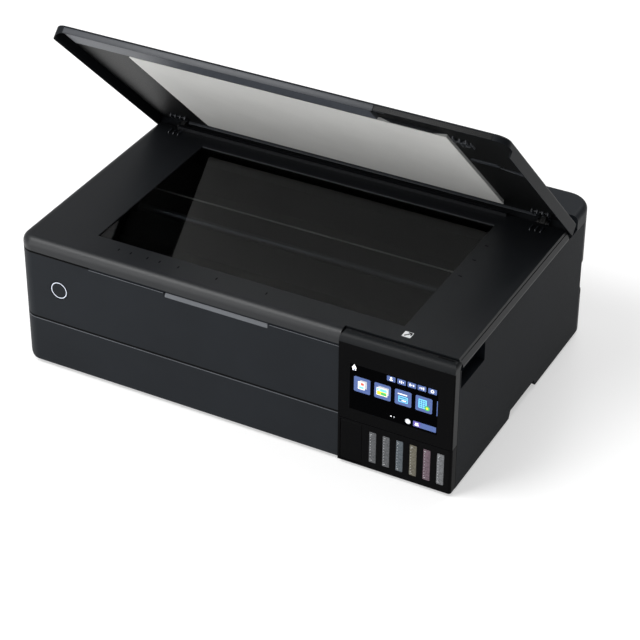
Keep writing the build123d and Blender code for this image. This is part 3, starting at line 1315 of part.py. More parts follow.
with BuildPart() as platen:
    slab((PLATEN_X0, PLATEN_X1), (PLATEN_Y0, PLATEN_Y1), (CROSS_Z + FRAME_T, PLATEN_TOP))
    with BuildSketch(Plane.XY.offset(PLATEN_TOP)):
        with Locations(((PLATEN_X0 + PLATEN_X1) / 2, (PLATEN_Y0 + PLATEN_Y1) / 2)):
            with GridLocations((PLATEN_X1 - PLATEN_X0) / RIB_COUNT, 0, RIB_COUNT, 1):
                Rectangle(RIB_W, PLATEN_Y1 - PLATEN_Y0 - 2 * RIB_END)
    extrude(amount=RIB_H)
save(platen, "platen")

# Print carriage with a hook over the rail and jaws at the belt, and the head under it
CARRIAGE_Z0 = 72.0
CARRIAGE_Z1 = RAIL_Z1 - 4.0
CARRIAGE_Y0 = RAIL_Y - 86.0
CARRIAGE_Y1 = RAIL_Y - RAIL_LIP - 1.0
CARRIAGE_R = 4.0
CELL_WALL = 1.5
HOOK_T = 2.2
HOOK_REACH = 5.0
JAW_T = 3.0
JAW_W = 20.0
BELT_Y0 = RAIL_Y - 8.5
BELT_T = 1.2
BELT_R = PULLEY_R + RUN

with BuildPart() as print_carriage:
    carriage_x = (CARRIAGE_X - CARRIAGE_W / 2, CARRIAGE_X + CARRIAGE_W / 2)
    slab(carriage_x, (CARRIAGE_Y0, CARRIAGE_Y1), (CARRIAGE_Z0, CARRIAGE_Z1))
    fillet(print_carriage.edges().filter_by(Axis.Z), CARRIAGE_R)
    slab(
        (carriage_x[0] + WALL, carriage_x[1] - WALL),
        (CARRIAGE_Y0 + WALL, CARRIAGE_Y1 - WALL),
        (CARRIAGE_Z0 + WALL, CARRIAGE_Z1),
        mode=Mode.SUBTRACT,
    )
    with BuildSketch(Plane.XY.offset(CARRIAGE_Z0 + WALL)):
        with Locations((CARRIAGE_X, (CARRIAGE_Y0 + CARRIAGE_Y1) / 2)):
            with GridLocations(CARRIAGE_W / TANK_COUNT, 0, TANK_COUNT - 1, 1):
                Rectangle(CELL_WALL, CARRIAGE_Y1 - CARRIAGE_Y0 - 2 * WALL)
    extrude(amount=CARRIAGE_Z1 - CARRIAGE_Z0 - 3 * WALL)
    hook_x = (CARRIAGE_X - JAW_W, CARRIAGE_X + JAW_W)
    hook_z = RAIL_Z1 + RUN
    slab(hook_x, (CARRIAGE_Y1 - WALL, CARRIAGE_Y1), (CARRIAGE_Z1, hook_z + HOOK_T))
    slab(hook_x, (CARRIAGE_Y1 - WALL, CARRIAGE_Y1 + HOOK_REACH), (hook_z, hook_z + HOOK_T))
    belt_low = BELT_Z - BELT_R - BELT_T
    jaw_x = (CARRIAGE_X - JAW_W / 2, CARRIAGE_X + JAW_W / 2)
    slab(jaw_x, (CARRIAGE_Y1, BELT_Y0 + BELT_W), (belt_low - RUN - JAW_T, belt_low - RUN))
    jaw_low = belt_low + BELT_T + RUN
    slab(jaw_x, (CARRIAGE_Y1, BELT_Y0 + BELT_W), (jaw_low, jaw_low + JAW_T))
save(print_carriage, "print_carriage")

# Print head: the nozzle block under the carriage
NOZZLE_W = 64.0
NOZZLE_FRONT = 4.0
NOZZLE_REAR = 6.0
NOZZLE_BEVEL = 1.5
PAPER_GAP = 1.3

with BuildPart() as print_head:
    slab(
        (CARRIAGE_X - NOZZLE_W / 2, CARRIAGE_X + NOZZLE_W / 2),
        (PLATEN_Y0 + NOZZLE_FRONT, PLATEN_Y1 - NOZZLE_REAR),
        (PLATEN_TOP + RIB_H + PAPER_GAP, CARRIAGE_Z0),
    )
    chamfer(print_head.edges().group_by(Axis.Z)[0], NOZZLE_BEVEL)
save(print_head, "print_head")

# Carriage drive: belt loop, two pulleys and the motor behind the rail
FLANGE_OUT = 1.4    # outer face of the pulley's flange in front of the belt
SHAFT_OUT = 2.0     # pulley shaft behind the rail

with BuildPart() as timing_belt:
    with BuildSketch(facing(BELT_Y0 + BELT_W)):
        with Locations(((DRIVE_X + IDLER_X) / 2, BELT_Z)):
            SlotCenterToCenter(IDLER_X - DRIVE_X, 2 * (BELT_R + BELT_T))
            SlotCenterToCenter(IDLER_X - DRIVE_X, 2 * BELT_R, mode=Mode.SUBTRACT)
    extrude(amount=BELT_W)
save(timing_belt, "timing_belt")


def belt_pulley(x):
    """Pulley at one end of the belt, on a shaft that runs through the rail."""
    flange = BELT_R + BELT_T
    with BuildPart() as pulley:
        for radius, y0, y1 in (
            (PULLEY_R, BELT_Y0, BELT_Y0 + BELT_W),
            (flange, BELT_Y0 - FLANGE_OUT, BELT_Y0 - RUN),
            (PULLEY_R, BELT_Y0 - RUN, BELT_Y0),
            (DRIVE_SHAFT_R, BELT_Y0 + BELT_W, RAIL_Y + FRAME_T + SHAFT_OUT),
        ):
            with BuildSketch(facing(y1)) as section:
                with Locations((x, BELT_Z)):
                    Circle(radius)
            extrude(section.sketch, amount=y1 - y0)
    return pulley


drive_pulley = belt_pulley(DRIVE_X)
save(drive_pulley, "drive_pulley")
idler_pulley = belt_pulley(IDLER_X)
save(idler_pulley, "idler_pulley")

MOTOR_R = 15.0
MOTOR_L = 28.0
MOTOR_BEVEL = 2.0
MOTOR_BORE = 3.0    # depth of the bore for the shaft's end

with BuildPart() as carriage_motor:
    with BuildSketch(facing(RAIL_Y + FRAME_T + MOTOR_L)):
        with Locations((DRIVE_X, BELT_Z)):
            Circle(MOTOR_R)
    extrude(amount=MOTOR_L)
    chamfer(carriage_motor.edges().filter_by(GeomType.CIRCLE).sort_by(Axis.Y)[-1:], MOTOR_BEVEL)
    with BuildSketch(facing(RAIL_Y + FRAME_T + MOTOR_BORE)):
        with Locations((DRIVE_X, BELT_Z)):
            Circle(DRIVE_SHAFT_R + FIT)
    extrude(amount=MOTOR_BORE, mode=Mode.SUBTRACT)
save(carriage_motor, "carriage_motor")

# Proportions of the gear teeth
PRESSURE_ANGLE = 20.0
TOOTH_TIP = 0.9       # in modules
TOOTH_ROOT = 1.25
TOOTH_PLAY = 0.06
ROOT_FLARE = 0.02


def gear_outline(teeth, phase):
    """Points of an involute spur gear, with one tooth centred on the given angle."""
    pressure = radians(PRESSURE_ANGLE)
    pitch_r = GEAR_MODULE * teeth / 2
    base_r = pitch_r * cos(pressure)
    tip_r = pitch_r + TOOTH_TIP * GEAR_MODULE
    root_r = pitch_r - TOOTH_ROOT * GEAR_MODULE
    half_pitch = pi / (2 * teeth) - TOOTH_PLAY / pitch_r + tan(pressure) - pressure
    flank = []
    for step in range(4):
        radius = max(base_r, root_r) + (tip_r - max(base_r, root_r)) * step / 3
        roll = sqrt(max(0.0, (radius / base_r) ** 2 - 1))
        flank.append((radius, half_pitch - (roll - atan2(roll, 1.0))))
    flank.insert(0, (root_r, flank[0][1] + ROOT_FLARE))
    points = []
    for tooth in range(teeth):
        centre = radians(phase) + 2 * pi * tooth / teeth
        for radius, angle in flank:
            points.append((radius * cos(centre - angle), radius * sin(centre - angle)))
        for radius, angle in reversed(flank):
            points.append((radius * cos(centre + angle), radius * sin(centre + angle)))
    return points


# Feed roller with its gear, and the motor's pinion in mesh with it
ROLLER_R = 7.0
ROLLER_L = 60.0
ROLLER_COUNT = 3
GEAR_STUB = 2.0     # feed shaft past its gear
FEED_END = 6.0      # feed shaft past the right plate
ROLLER_X0 = PLATEN_X0 + 5.0
ROLLER_PITCH = (PLATEN_X1 + 20.0 - ROLLER_X0 - ROLLER_L) / (ROLLER_COUNT - 1)
ROLLER_STARTS = [ROLLER_X0 + i * ROLLER_PITCH for i in range(ROLLER_COUNT)]

with BuildPart() as feed_roller:
    rod_x((GEAR_X - GEAR_STUB, FRAME_X1 + FRAME_T + FEED_END), FEED_Y, FEED_Z, FEED_SHAFT_R)
    for start in ROLLER_STARTS:
        rod_x((start, start + ROLLER_L), FEED_Y, FEED_Z, ROLLER_R)
    with BuildSketch(Plane(origin=(GEAR_X, FEED_Y, FEED_Z), x_dir=(0, 1, 0), z_dir=(1, 0, 0))):
        Polygon(*gear_outline(GEAR_TEETH, PINION_ANGLE), align=None)
    extrude(amount=GEAR_W)
save(feed_roller, "feed_roller")

with BuildPart() as feed_pinion:
    pinion_plane = Plane(origin=(GEAR_X, PINION_Y, PINION_Z), x_dir=(0, 1, 0), z_dir=(1, 0, 0))
    with BuildSketch(pinion_plane):
        Polygon(*gear_outline(PINION_TEETH, PINION_ANGLE + 180 + 180 / PINION_TEETH), align=None)
    extrude(amount=GEAR_W)
    rod_x((GEAR_X + GEAR_W, FRAME_X0 + FRAME_T + MOTOR_BORE), PINION_Y, PINION_Z, PINION_SHAFT_R)
save(feed_pinion, "feed_pinion")

FEED_MOTOR_R = 15.0
FEED_MOTOR_L = 30.0

with BuildPart() as feed_motor:
    motor_x = FRAME_X0 + FRAME_T
    rod_x((motor_x, motor_x + FEED_MOTOR_L), PINION_Y, PINION_Z, FEED_MOTOR_R)
    chamfer(feed_motor.edges().filter_by(GeomType.CIRCLE).sort_by(Axis.X)[-1:], MOTOR_BEVEL)
    rod_x((motor_x, motor_x + MOTOR_BORE), PINION_Y, PINION_Z, PINION_SHAFT_R + FIT, mode=Mode.SUBTRACT)
save(feed_motor, "feed_motor")

EJECT_R = 4.6
EJECT_END = 3.0     # eject shaft past each side plate

with BuildPart() as eject_roller:
    rod_x((FRAME_X0 - EJECT_END, FRAME_X1 + FRAME_T + EJECT_END), EJECT_Y, EJECT_Z, EJECT_SHAFT_R)
    for start in ROLLER_STARTS:
        rod_x((start, start + ROLLER_L), EJECT_Y, EJECT_Z, EJECT_R)
save(eject_roller, "eject_roller")

# Capping station under the parked head
CAP_X0 = FRAME_X1 - 92.0
CAP_X1 = FRAME_X1 - 12.0
SEAL_SIDE = 6.0     # borders round the sealing lip
SEAL_FRONT = 5.0
SEAL_REAR = 7.0
SEAL_T = 2.0
WELL_D = 2.0

with BuildPart() as capping_station:
    slab((CAP_X0, CAP_X1), (PLATEN_Y0, PLATEN_Y1), (CROSS_Z + FRAME_T, PLATEN_TOP))
    seal_x = (CAP_X0 + SEAL_SIDE, CAP_X1 - SEAL_SIDE)
    seal_y = (PLATEN_Y0 + SEAL_FRONT, PLATEN_Y1 - SEAL_REAR)
    slab(seal_x, seal_y, (PLATEN_TOP, PLATEN_TOP + RIB_H))
    slab(
        (seal_x[0] + SEAL_T, seal_x[1] - SEAL_T),
        (seal_y[0] + SEAL_T, seal_y[1] - SEAL_T),
        (PLATEN_TOP - WELL_D, PLATEN_TOP + RIB_H),
        mode=Mode.SUBTRACT,
    )
save(capping_station, "capping_station")

# Maintenance box in its bay at the rear right
BOX_R = 3.0
BOX_GRIP_W = 40.0
BOX_GRIP_H = 10.0
BOX_GRIP_D = 4.0
BOX_GRIP_Z = BOX_Z1 - 12.0

with BuildPart() as maintenance_box:
    slab((BOX_X0 + RUN, BOX_X1 - RUN), (BOX_Y0, BACK_Y), (FLOOR_TOP, BOX_Z1 - RUN))
    fillet(maintenance_box.edges().filter_by(Axis.Z), BOX_R)
    with BuildSketch(facing(BACK_Y)):
        with Locations(((BOX_X0 + BOX_X1) / 2, BOX_GRIP_Z)):
            SlotOverall(BOX_GRIP_W, BOX_GRIP_H)
    extrude(amount=BOX_GRIP_D, mode=Mode.SUBTRACT)
save(maintenance_box, "maintenance_box")

# Power supply on the floor at the rear left
SUPPLY_X0 = -HALF_W + 10.5
SUPPLY_W = 74.0
SUPPLY_Y1 = BACK_Y - 22.0
SUPPLY_D = 50.0
SUPPLY_H = 45.5
SUPPLY_R = 2.0

with BuildPart() as power_supply:
    slab(
        (SUPPLY_X0, SUPPLY_X0 + SUPPLY_W),
        (SUPPLY_Y1 - SUPPLY_D, SUPPLY_Y1),
        (FLOOR_TOP, FLOOR_TOP + SUPPLY_H),
    )
    fillet(power_supply.edges().filter_by(Axis.Z), SUPPLY_R)
save(power_supply, "power_supply")

# Main board, upright inside the left side panel, with its larger chips
BOARD_X = -INNER_W + 6.0
BOARD_T = 2.0
BOARD_Y0 = FACE_Y + 47.0
BOARD_Y1 = BACK_Y - 104.0
BOARD_Z0 = FOOT_H + HOLD_H + WALL
BOARD_Z1 = PAN_Z - 12.0
CHIP_SIZE = 24.0
CHIP_T = 3.0
CHIP_Z = 50.0
CHIP_YS = (BOARD_Y0 + 40.0, BOARD_Y0 + 90.0, BOARD_Y1 - 60.0)

with BuildPart() as main_board:
    slab((BOARD_X, BOARD_X + BOARD_T), (BOARD_Y0, BOARD_Y1), (BOARD_Z0, BOARD_Z1))
    chip_x = (BOARD_X + BOARD_T, BOARD_X + BOARD_T + CHIP_T)
    for chip_y in CHIP_YS:
        slab(chip_x, (chip_y, chip_y + CHIP_SIZE), (CHIP_Z, CHIP_Z + CHIP_SIZE))
save(main_board, "main_board")

# Mains inlet with a figure-eight socket and two pins
SOCKET_W = 17.0
SOCKET_H = 9.0
SOCKET_D = 11.0
BLADE_PITCH = 8.6
BLADE_R = 1.2
BLADE_SUNK = 1.5
SOCKET_BACK = 6.0   # inlet's body behind the socket

with BuildPart() as ac_inlet:
    slab(
        (INLET_X - INLET_W / 2, INLET_X + INLET_W / 2),
        (INNER_BACK - SOCKET_D - SOCKET_BACK, BACK_Y),
        (INLET_Z - INLET_H / 2, INLET_Z + INLET_H / 2),
    )
    with BuildSketch(facing(BACK_Y)):
        with Locations((INLET_X, INLET_Z)):
            SlotOverall(SOCKET_W, SOCKET_H)
    extrude(amount=SOCKET_D, mode=Mode.SUBTRACT)
    with BuildSketch(facing(BACK_Y - BLADE_SUNK)):
        with Locations((INLET_X, INLET_Z)):
            with GridLocations(BLADE_PITCH, 0, 2, 1):
                Circle(BLADE_R)
    extrude(amount=SOCKET_D - BLADE_SUNK)
save(ac_inlet, "ac_inlet")

# Network and printer-cable sockets
PORT_D = 14.0
LAN_HOLE = (12.0, 8.0)
LAN_KEY = (6.0, 2.0)  # notch for the plug's latch, below the hole
LAN_HOLE_D = 11.0
USB_HOLE = 8.4
USB_HOLE_D = 9.0

with BuildPart() as rear_ports:
    for cx, cz, w, h in ((LAN_X, LAN_Z, LAN_W, LAN_H), (USB_X, USB_Z, USB_SIZE, USB_SIZE)):
        slab((cx - w / 2, cx + w / 2), (INNER_BACK - PORT_D, BACK_Y), (cz - h / 2, cz + h / 2))
    with BuildSketch(facing(BACK_Y)):
        with Locations((LAN_X, LAN_Z)):
            Rectangle(*LAN_HOLE)
        with Locations((LAN_X, LAN_Z - (LAN_HOLE[1] + LAN_KEY[1]) / 2)):
            Rectangle(*LAN_KEY)
    extrude(amount=LAN_HOLE_D, mode=Mode.SUBTRACT)
    with BuildSketch(facing(BACK_Y)):
        with Locations((USB_X, USB_Z)):
            Rectangle(USB_HOLE, USB_HOLE)
    extrude(amount=USB_HOLE_D, mode=Mode.SUBTRACT)
save(rear_ports, "rear_ports")
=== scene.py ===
"""Dressed scene of a wide ink-tank photo printer that stands with its scanner lid open."""

import json
import logging
import math
from contextlib import contextmanager
from dataclasses import dataclass, field, replace
from enum import Enum
from typing import Callable, Iterator, Mapping, NamedTuple, Optional, Sequence, Union

import bpy
from mathutils import Euler, Matrix, Quaternion, Vector


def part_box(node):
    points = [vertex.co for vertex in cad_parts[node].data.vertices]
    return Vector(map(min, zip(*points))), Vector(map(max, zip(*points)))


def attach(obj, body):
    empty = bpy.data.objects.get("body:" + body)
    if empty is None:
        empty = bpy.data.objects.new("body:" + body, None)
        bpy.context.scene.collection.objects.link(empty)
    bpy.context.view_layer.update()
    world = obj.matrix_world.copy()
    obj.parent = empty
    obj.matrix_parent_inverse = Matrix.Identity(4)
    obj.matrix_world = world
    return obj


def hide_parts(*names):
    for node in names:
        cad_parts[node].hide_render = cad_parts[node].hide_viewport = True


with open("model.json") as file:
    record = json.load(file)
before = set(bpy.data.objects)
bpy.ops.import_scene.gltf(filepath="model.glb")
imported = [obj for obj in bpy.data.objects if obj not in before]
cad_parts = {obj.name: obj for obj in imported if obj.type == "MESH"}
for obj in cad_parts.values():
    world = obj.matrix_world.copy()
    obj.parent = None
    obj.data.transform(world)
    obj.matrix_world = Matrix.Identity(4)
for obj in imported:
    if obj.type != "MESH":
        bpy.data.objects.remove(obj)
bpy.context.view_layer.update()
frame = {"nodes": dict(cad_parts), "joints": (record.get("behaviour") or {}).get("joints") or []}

LOG = logging.getLogger("printer")

Pair = tuple[float, float]
Point = tuple[float, float, float]
Colour = tuple[float, float, float, float]
Piece = bpy.types.Object
Socket = bpy.types.NodeSocket
Inputs = Mapping[Union[str, int], object]

MM = 0.001  # metres
SLACK = 0.01  # millimetres by which a corner may miss its plane
SAME_WAY = 0.99  # cosine above which two directions count as one
MERGE = 0.000002  # metres within which corners are merged
SOFT = 40.0  # degrees below which a moulded edge is shaded smooth
SLIGHT = 0.995  # taper of a long thin bead
MOSTLY = 0.5  # cosine above which a face looks mostly one way
RIB_ROUND = 0.15  # bevel of a rib as a share of its thinnest side
PATCH_ROUND = 0.45  # largest corner of a lit patch as a share of its smaller side
DOT_RIM = 0.12  # rim of a lit dot as a share of its radius
DOT_RISE = 0.01  # millimetres by which a lit dot rises inside its rim
HINGE_HALF = 6.1  # millimetres from a lid hinge's outer face to its middle
CORNER_STEPS = 14  # faces round the body's front left corner
ALONG_X = (0.05, 1.0, 1.0)  # factors that draw a grain out along X
NOISE_ENDS = (0.3, 0.7)  # values between which a noise pattern mostly lies
RIGHT, LEFT = (1, 0, 0), (-1, 0, 0)
FRONT, REAR = (0, -1, 0), (0, 1, 0)
UP, DOWN = (0, 0, 1), (0, 0, -1)


class Span(NamedTuple):
    """A lower and an upper limit, in millimetres where they are places."""

    low: float
    high: float

    @property
    def middle(self) -> float:
        """The place half way between the limits."""
        return (self.low + self.high) / 2

    def at(self, share: float) -> float:
        """Give the place at a share of the way from the low to the high limit."""
        return self.low + share * (self.high - self.low)

    def moved(self, way: float) -> "Span":
        """Give the limits moved along the axis."""
        return Span(self.low + way, self.high + way)

    def within(self, margin: float) -> "Span":
        """Give the limits drawn in by a margin at both ends."""
        return Span(self.low + margin, self.high - margin)


class Box(NamedTuple):
    """Limits along the three axes, in millimetres."""

    x: Span
    y: Span
    z: Span


def box(node: str) -> Box:
    """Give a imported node's limits in millimetres."""
    return Box(*(Span(low / MM, high / MM) for low, high in zip(*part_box(node))))


def bed_top() -> float:
    """Give the height of the bed's flat top, with which the control panel is flush."""
    return box("panel_housing").z.high


def around(middle: float, width: float) -> Span:
    """Give the limits of a width about its middle."""
    return Span(middle - width / 2, middle + width / 2)


def joint(name: str) -> dict:
    """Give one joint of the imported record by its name."""
    return next(item for item in frame["joints"] if item["name"] == name)


def linear(colour: str, share: float = 1.0) -> Colour:
    """Turn a screen colour into the linear values that a shader takes.

    Args:
        colour: Six hexadecimal digits, such as "26282b".
        share: Factor that lightens or darkens the result.

    Returns:
        Linear red, green and blue, with a full alpha.
    """
    parts = [int(colour[i:i + 2], 16) / 255 for i in (0, 2, 4)]
    values = [p / 12.92 if p <= 0.04045 else ((p + 0.055) / 1.055) ** 2.4 for p in parts]
    return (values[0] * share, values[1] * share, values[2] * share, 1.0)


class Nodes:
    """A small hand for laying out the nodes of one material."""

    def __init__(self, name: str) -> None:
        """Make an empty material with a principled shader.

        Args:
            name: The material's name.
        """
        self.material = bpy.data.materials.new(name)
        self.material.use_nodes = True
        self.tree = self.material.node_tree
        self.shader = self.tree.nodes["Principled BSDF"]
        self.place = self.add("ShaderNodeTexCoord").outputs["Object"]

    def fill(self, node: bpy.types.Node, inputs: Inputs) -> bpy.types.Node:
        """Fill a node's inputs: a socket is linked, any other value is set.

        Args:
            node: The node.
            inputs: Sockets or values by the input's name or number.

        Returns:
            The node.
        """
        for key, value in inputs.items():
            if isinstance(value, Socket):
                self.tree.links.new(value, node.inputs[key])
            else:
                node.inputs[key].default_value = value
        return node

    def add(self, kind: str, inputs: Optional[Inputs] = None) -> bpy.types.Node:
        """Add a node of a kind and fill its inputs."""
        return self.fill(self.tree.nodes.new(kind), inputs or {})

    def shade(self, inputs: Inputs) -> None:
        """Fill the shader's inputs."""
        self.fill(self.shader, inputs)

    def noise(self, scale: float, detail: float) -> Socket:
        """Add a noise pattern on the piece's own coordinates.

        Args:
            scale: Pattern repeats per metre.
            detail: Octaves of the pattern.

        Returns:
            The pattern's value socket.
        """
        inputs = {"Vector": self.place, "Scale": scale, "Detail": detail}
        return self.add("ShaderNodeTexNoise", inputs).outputs["Fac"]

    def spread(self, value: Socket, low: float, high: float) -> Socket:
        """Spread a pattern between two numbers.

        Args:
            value: The pattern.
            low: Result where the pattern is darkest.
            high: Result where it is lightest.

        Returns:
            The spread value.
        """
        source = {"Value": value, "From Min": NOISE_ENDS[0], "From Max": NOISE_ENDS[1]}
        inputs = {**source, "To Min": low, "To Max": high}
        return self.add("ShaderNodeMapRange", inputs).outputs["Result"]

    def blend(self, value: Socket, low: Colour, high: Colour, ends: Pair = (0.35, 0.65)) -> Socket:
        """Blend two colours by a pattern.

        Args:
            value: The pattern.
            low: Colour at the dark end.
            high: Colour at the light end.
            ends: Pattern values of the two ends.

        Returns:
            The colour socket.
        """
        ramp = self.add("ShaderNodeValToRGB", {"Fac": value})
        for stop, place, colour in zip(ramp.color_ramp.elements, ends, (low, high)):
            stop.position = place
            stop.color = colour
        return ramp.outputs["Color"]

    def bump(self, value: Socket, depth: float) -> Socket:
        """Raise the surface by a pattern, to a height in metres."""
        inputs = {"Strength": 1.0, "Distance": depth, "Height": value}
        return self.add("ShaderNodeBump", inputs).outputs["Normal"]


@dataclass(frozen=True)
class Look:
    """A named colour with a material of its own.

    Attributes:
        name: Name of the material.
        colour: Screen colour in six hexadecimal digits.
    """

    name: str
    colour: str

    def material(self) -> bpy.types.Material:
        """Give the material, made on first use.

        Returns:
            The node material.
        """
        if self.name not in bpy.data.materials:
            self.lay(Nodes(self.name))
        return bpy.data.materials[self.name]

    def lay(self, nodes: Nodes) -> None:
        """Lay the material's nodes, as each kind of look does."""
        raise NotImplementedError


@dataclass(frozen=True)
class Finish(Look):
    """A moulded, pressed or coated surface with a fine grain and slight patches.

    Attributes:
        roughness: Mean roughness.
        ripple: How far the roughness strays to each side.
        metallic: One for bare metal.
        grain: Repeats of the fine grain per metre.
        depth: Height of the grain in metres.
        mottle: Share by which the colour strays to each side.
        patch: Repeats of the patches per metre.
        specular: Specular level, a half for plain plastic.
        stretch: Factors that stretch the grain along X, Y and Z, if any.
    """

    roughness: float
    ripple: float = 0.04
    metallic: float = 0.0
    grain: float = 1300.0
    depth: float = 0.00003
    mottle: float = 0.06
    patch: float = 18.0
    specular: float = 0.35
    stretch: Optional[Point] = None

    def lay(self, nodes: Nodes) -> None:
        """Lay the patches in the colour, and the grain in roughness and height.

        Args:
            nodes: The material's nodes.
        """
        if self.stretch:
            inputs = {"Vector": nodes.place, "Scale": self.stretch}
            nodes.place = nodes.add("ShaderNodeMapping", inputs).outputs["Vector"]
        patches = nodes.noise(self.patch, detail=4.0)
        grain = nodes.noise(self.grain, detail=2.0)
        low, high = around(self.roughness, 2 * self.ripple)
        dark, pale = (linear(self.colour, share) for share in around(1.0, 2 * self.mottle))
        nodes.shade({
            "Base Color": nodes.blend(patches, dark, pale),
            "Roughness": nodes.spread(grain, low, high),
            "Normal": nodes.bump(grain, self.depth),
            "Metallic": self.metallic,
            "Specular IOR Level": self.specular,
        })


@dataclass(frozen=True)
class Lit(Look):
    """A coloured area of the display that glows a little of its own.

    Attributes:
        glow: Strength of its own light.
        dim: Share of the colour in its darker specks.
        speck: Repeats of the specks per metre.
        roughness: Roughness of the surface.
    """

    glow: float = 0.75
    dim: float = 0.9
    speck: float = 900.0
    roughness: float = 0.25

    def lay(self, nodes: Nodes) -> None:
        """Lay the same speckled colour in surface and light.

        Args:
            nodes: The material's nodes.
        """
        specks = nodes.noise(self.speck, detail=1.0)
        tone = nodes.blend(specks, linear(self.colour, self.dim), linear(self.colour))
        light = {"Emission Color": tone, "Emission Strength": self.glow}
        nodes.shade({"Base Color": tone, "Roughness": self.roughness, **light})


@dataclass(frozen=True)
class Pane(Look):
    """A clear pane that lets a dark inside show.

    Attributes:
        clear: Share of the light that goes through.
        bend: Index of refraction.
        roughness: Least and greatest roughness.
        smear: Repeats of the smears per metre.
    """

    clear: float
    bend: float
    roughness: Pair = (0.03, 0.05)
    smear: float = 30.0

    def lay(self, nodes: Nodes) -> None:
        """Lay the clear body and the smears.

        Args:
            nodes: The material's nodes.
        """
        smears = nodes.noise(self.smear, detail=5.0)
        nodes.shade({
            "Base Color": linear(self.colour),
            "Roughness": nodes.spread(smears, *self.roughness),
            "Transmission Weight": self.clear,
            "IOR": self.bend,
        })


@dataclass(frozen=True)
class Ink(Look):
    """A sight window: a frosted wall with the ink's tint and fine specks.

    Attributes:
        shares: Shares of the colour in the darkest and the lightest specks.
        ends: Pattern values of these two.
        roughness: Least and greatest roughness.
        speck: Repeats of the specks per metre.
        depth: Height of the specks in metres.
        coat: Weight of the clear coat.
    """

    shares: Pair = (0.78, 1.25)
    ends: Pair = (0.3, 0.7)
    roughness: Pair = (0.22, 0.36)
    speck: float = 620.0
    depth: float = 0.00006
    coat: float = 0.3

    def lay(self, nodes: Nodes) -> None:
        """Lay the specks in colour, roughness and height.

        Args:
            nodes: The material's nodes.
        """
        specks = nodes.noise(self.speck, detail=2.0)
        dark, pale = (linear(self.colour, share) for share in self.shares)
        nodes.shade({
            "Base Color": nodes.blend(specks, dark, pale, self.ends),
            "Roughness": nodes.spread(specks, *self.roughness),
            "Normal": nodes.bump(specks, self.depth),
            "Coat Weight": self.coat,
        })


class Finishes(Enum):
    """The finishes of this printer."""

    BODY = Finish("body_grain", "1d2024", 0.48, depth=0.00005, specular=0.1)
    BED = Finish("bed_grain", "17191c", 0.42, depth=0.00005, specular=0.36)
    LID = Finish("lid_grain", "1a1c1f", 0.46, depth=0.00005, specular=0.05)
    GRIP = Finish("grip_grain", "313439", 0.42, depth=0.00004)
    SOLE = Finish("sole_grain", "50545b", 0.42)
    # A darker, duller copy of the body's plastic, painting the shade that falls on the side panels.
    SIDE = Finish("side_grain", "191c20", 0.5, depth=0.00005, specular=0.035)
    ROD = Finish("rod_steel", "595b5f", 0.45, metallic=1.0, grain=500.0, stretch=ALONG_X)
    # Pale grey laid on thin edge bands and rims as a painted highlight.
    EDGE = Finish("edge_grain", "5c5f64", 0.4)
    # Mid grey on the front panel's leaned strip as a painted highlight.
    STRIP = Finish("strip_grain", "585b60", 0.4)
    LINING = Finish("lining_black", "0d0e0f", 0.5, grain=900.0, depth=0.00004, specular=0.25)
    INNER = Finish("inner_black", "101012", 0.5, grain=900.0)
    # The tray's own black, made darker than the other inside parts to paint the shade under the
    # glass.
    PIT = Finish("tray_black", "060607", 0.6, grain=900.0, depth=0.000004, specular=0.1)
    GLOSS = Finish("block_black", "09090a", 0.34, 0.02, grain=300.0, depth=0.000004, specular=0.025)
    HOUSING = Finish("housing_grain", "16181a", 0.42, depth=0.00004, specular=0.12)
    # Near black laid in seams and gaps as painted shade.
    SEAM = Finish("seam_black", "030303", 0.6, grain=900.0, specular=0.05)
    MAT = Finish("mat_sheet", "ededea", 0.6, grain=700.0, depth=0.00004, mottle=0.02)
    FOAM = Finish("mat_foam", "b4b5b4", 0.9, grain=500.0, depth=0.0002, mottle=0.08)
    RUBBER = Finish("foot_rubber", "161616", 0.8, grain=800.0, depth=0.00008)
    STEEL = Finish("rolled_steel", "9a9c9f", 0.32, metallic=1.0, grain=500.0, stretch=ALONG_X)
    CAN = Finish("motor_can", "86888b", 0.3, metallic=1.0, grain=500.0)
    ACETAL = Finish("white_acetal", "dcd9cf", 0.45, grain=800.0)
    BOARD = Finish("board_green", "0f3d24", 0.4, grain=1100.0, mottle=0.15)
    GOLD = Finish("contact_gold", "b48a3c", 0.25, metallic=1.0, grain=900.0)
    SCREEN = Finish("screen_black", "010102", 0.12, 0.01, grain=200.0, depth=0.000001, specular=0.01)
    WHITE_INK = Finish("mark_white", "dfe1e2", 0.5, grain=900.0)
    GREY_INK = Finish("mark_grey", "08090a", 0.6, grain=900.0, specular=0.05)
    DARK_INK = Finish("mark_dark", "0a0a0b", 0.5, grain=900.0, specular=0.1)
    SCAN_GLASS = Pane("clear_pane", "8a8d90", clear=1.0, bend=1.3)
    RING = Lit("ring_light", "dfe5f2", 0.45)
    UI_WHITE = Lit("ui_white", "f4f4f4")
    UI_BLUE = Lit("ui_blue", "41568a")
    UI_DEEP = Lit("ui_deep_blue", "33487c")
    UI_VIOLET = Lit("ui_violet", "5a4c9c")
    UI_CYAN = Lit("ui_cyan", "6fc6ec")
    UI_GREEN = Lit("ui_green", "3fae5a")
    UI_YELLOW = Lit("ui_yellow", "f2d21f")
    UI_RED = Lit("ui_red", "d8503c")
    UI_GREY = Lit("ui_grey", "b9bcc2", 0.5)
    INK_BLACK = Ink("sight_black", "4a4c4f")
    INK_PHOTO = Ink("sight_photo_black", "494b4e")
    INK_CYAN = Ink("sight_cyan", "444e55")
    INK_YELLOW = Ink("sight_yellow", "5c5848")
    INK_MAGENTA = Ink("sight_magenta", "604a56")
    INK_GREY = Ink("sight_grey", "66686b")

    def coat(self, piece: Piece) -> None:
        """Make this finish a piece's only material."""
        piece.data.materials.clear()
        piece.data.materials.append(self.value.material())


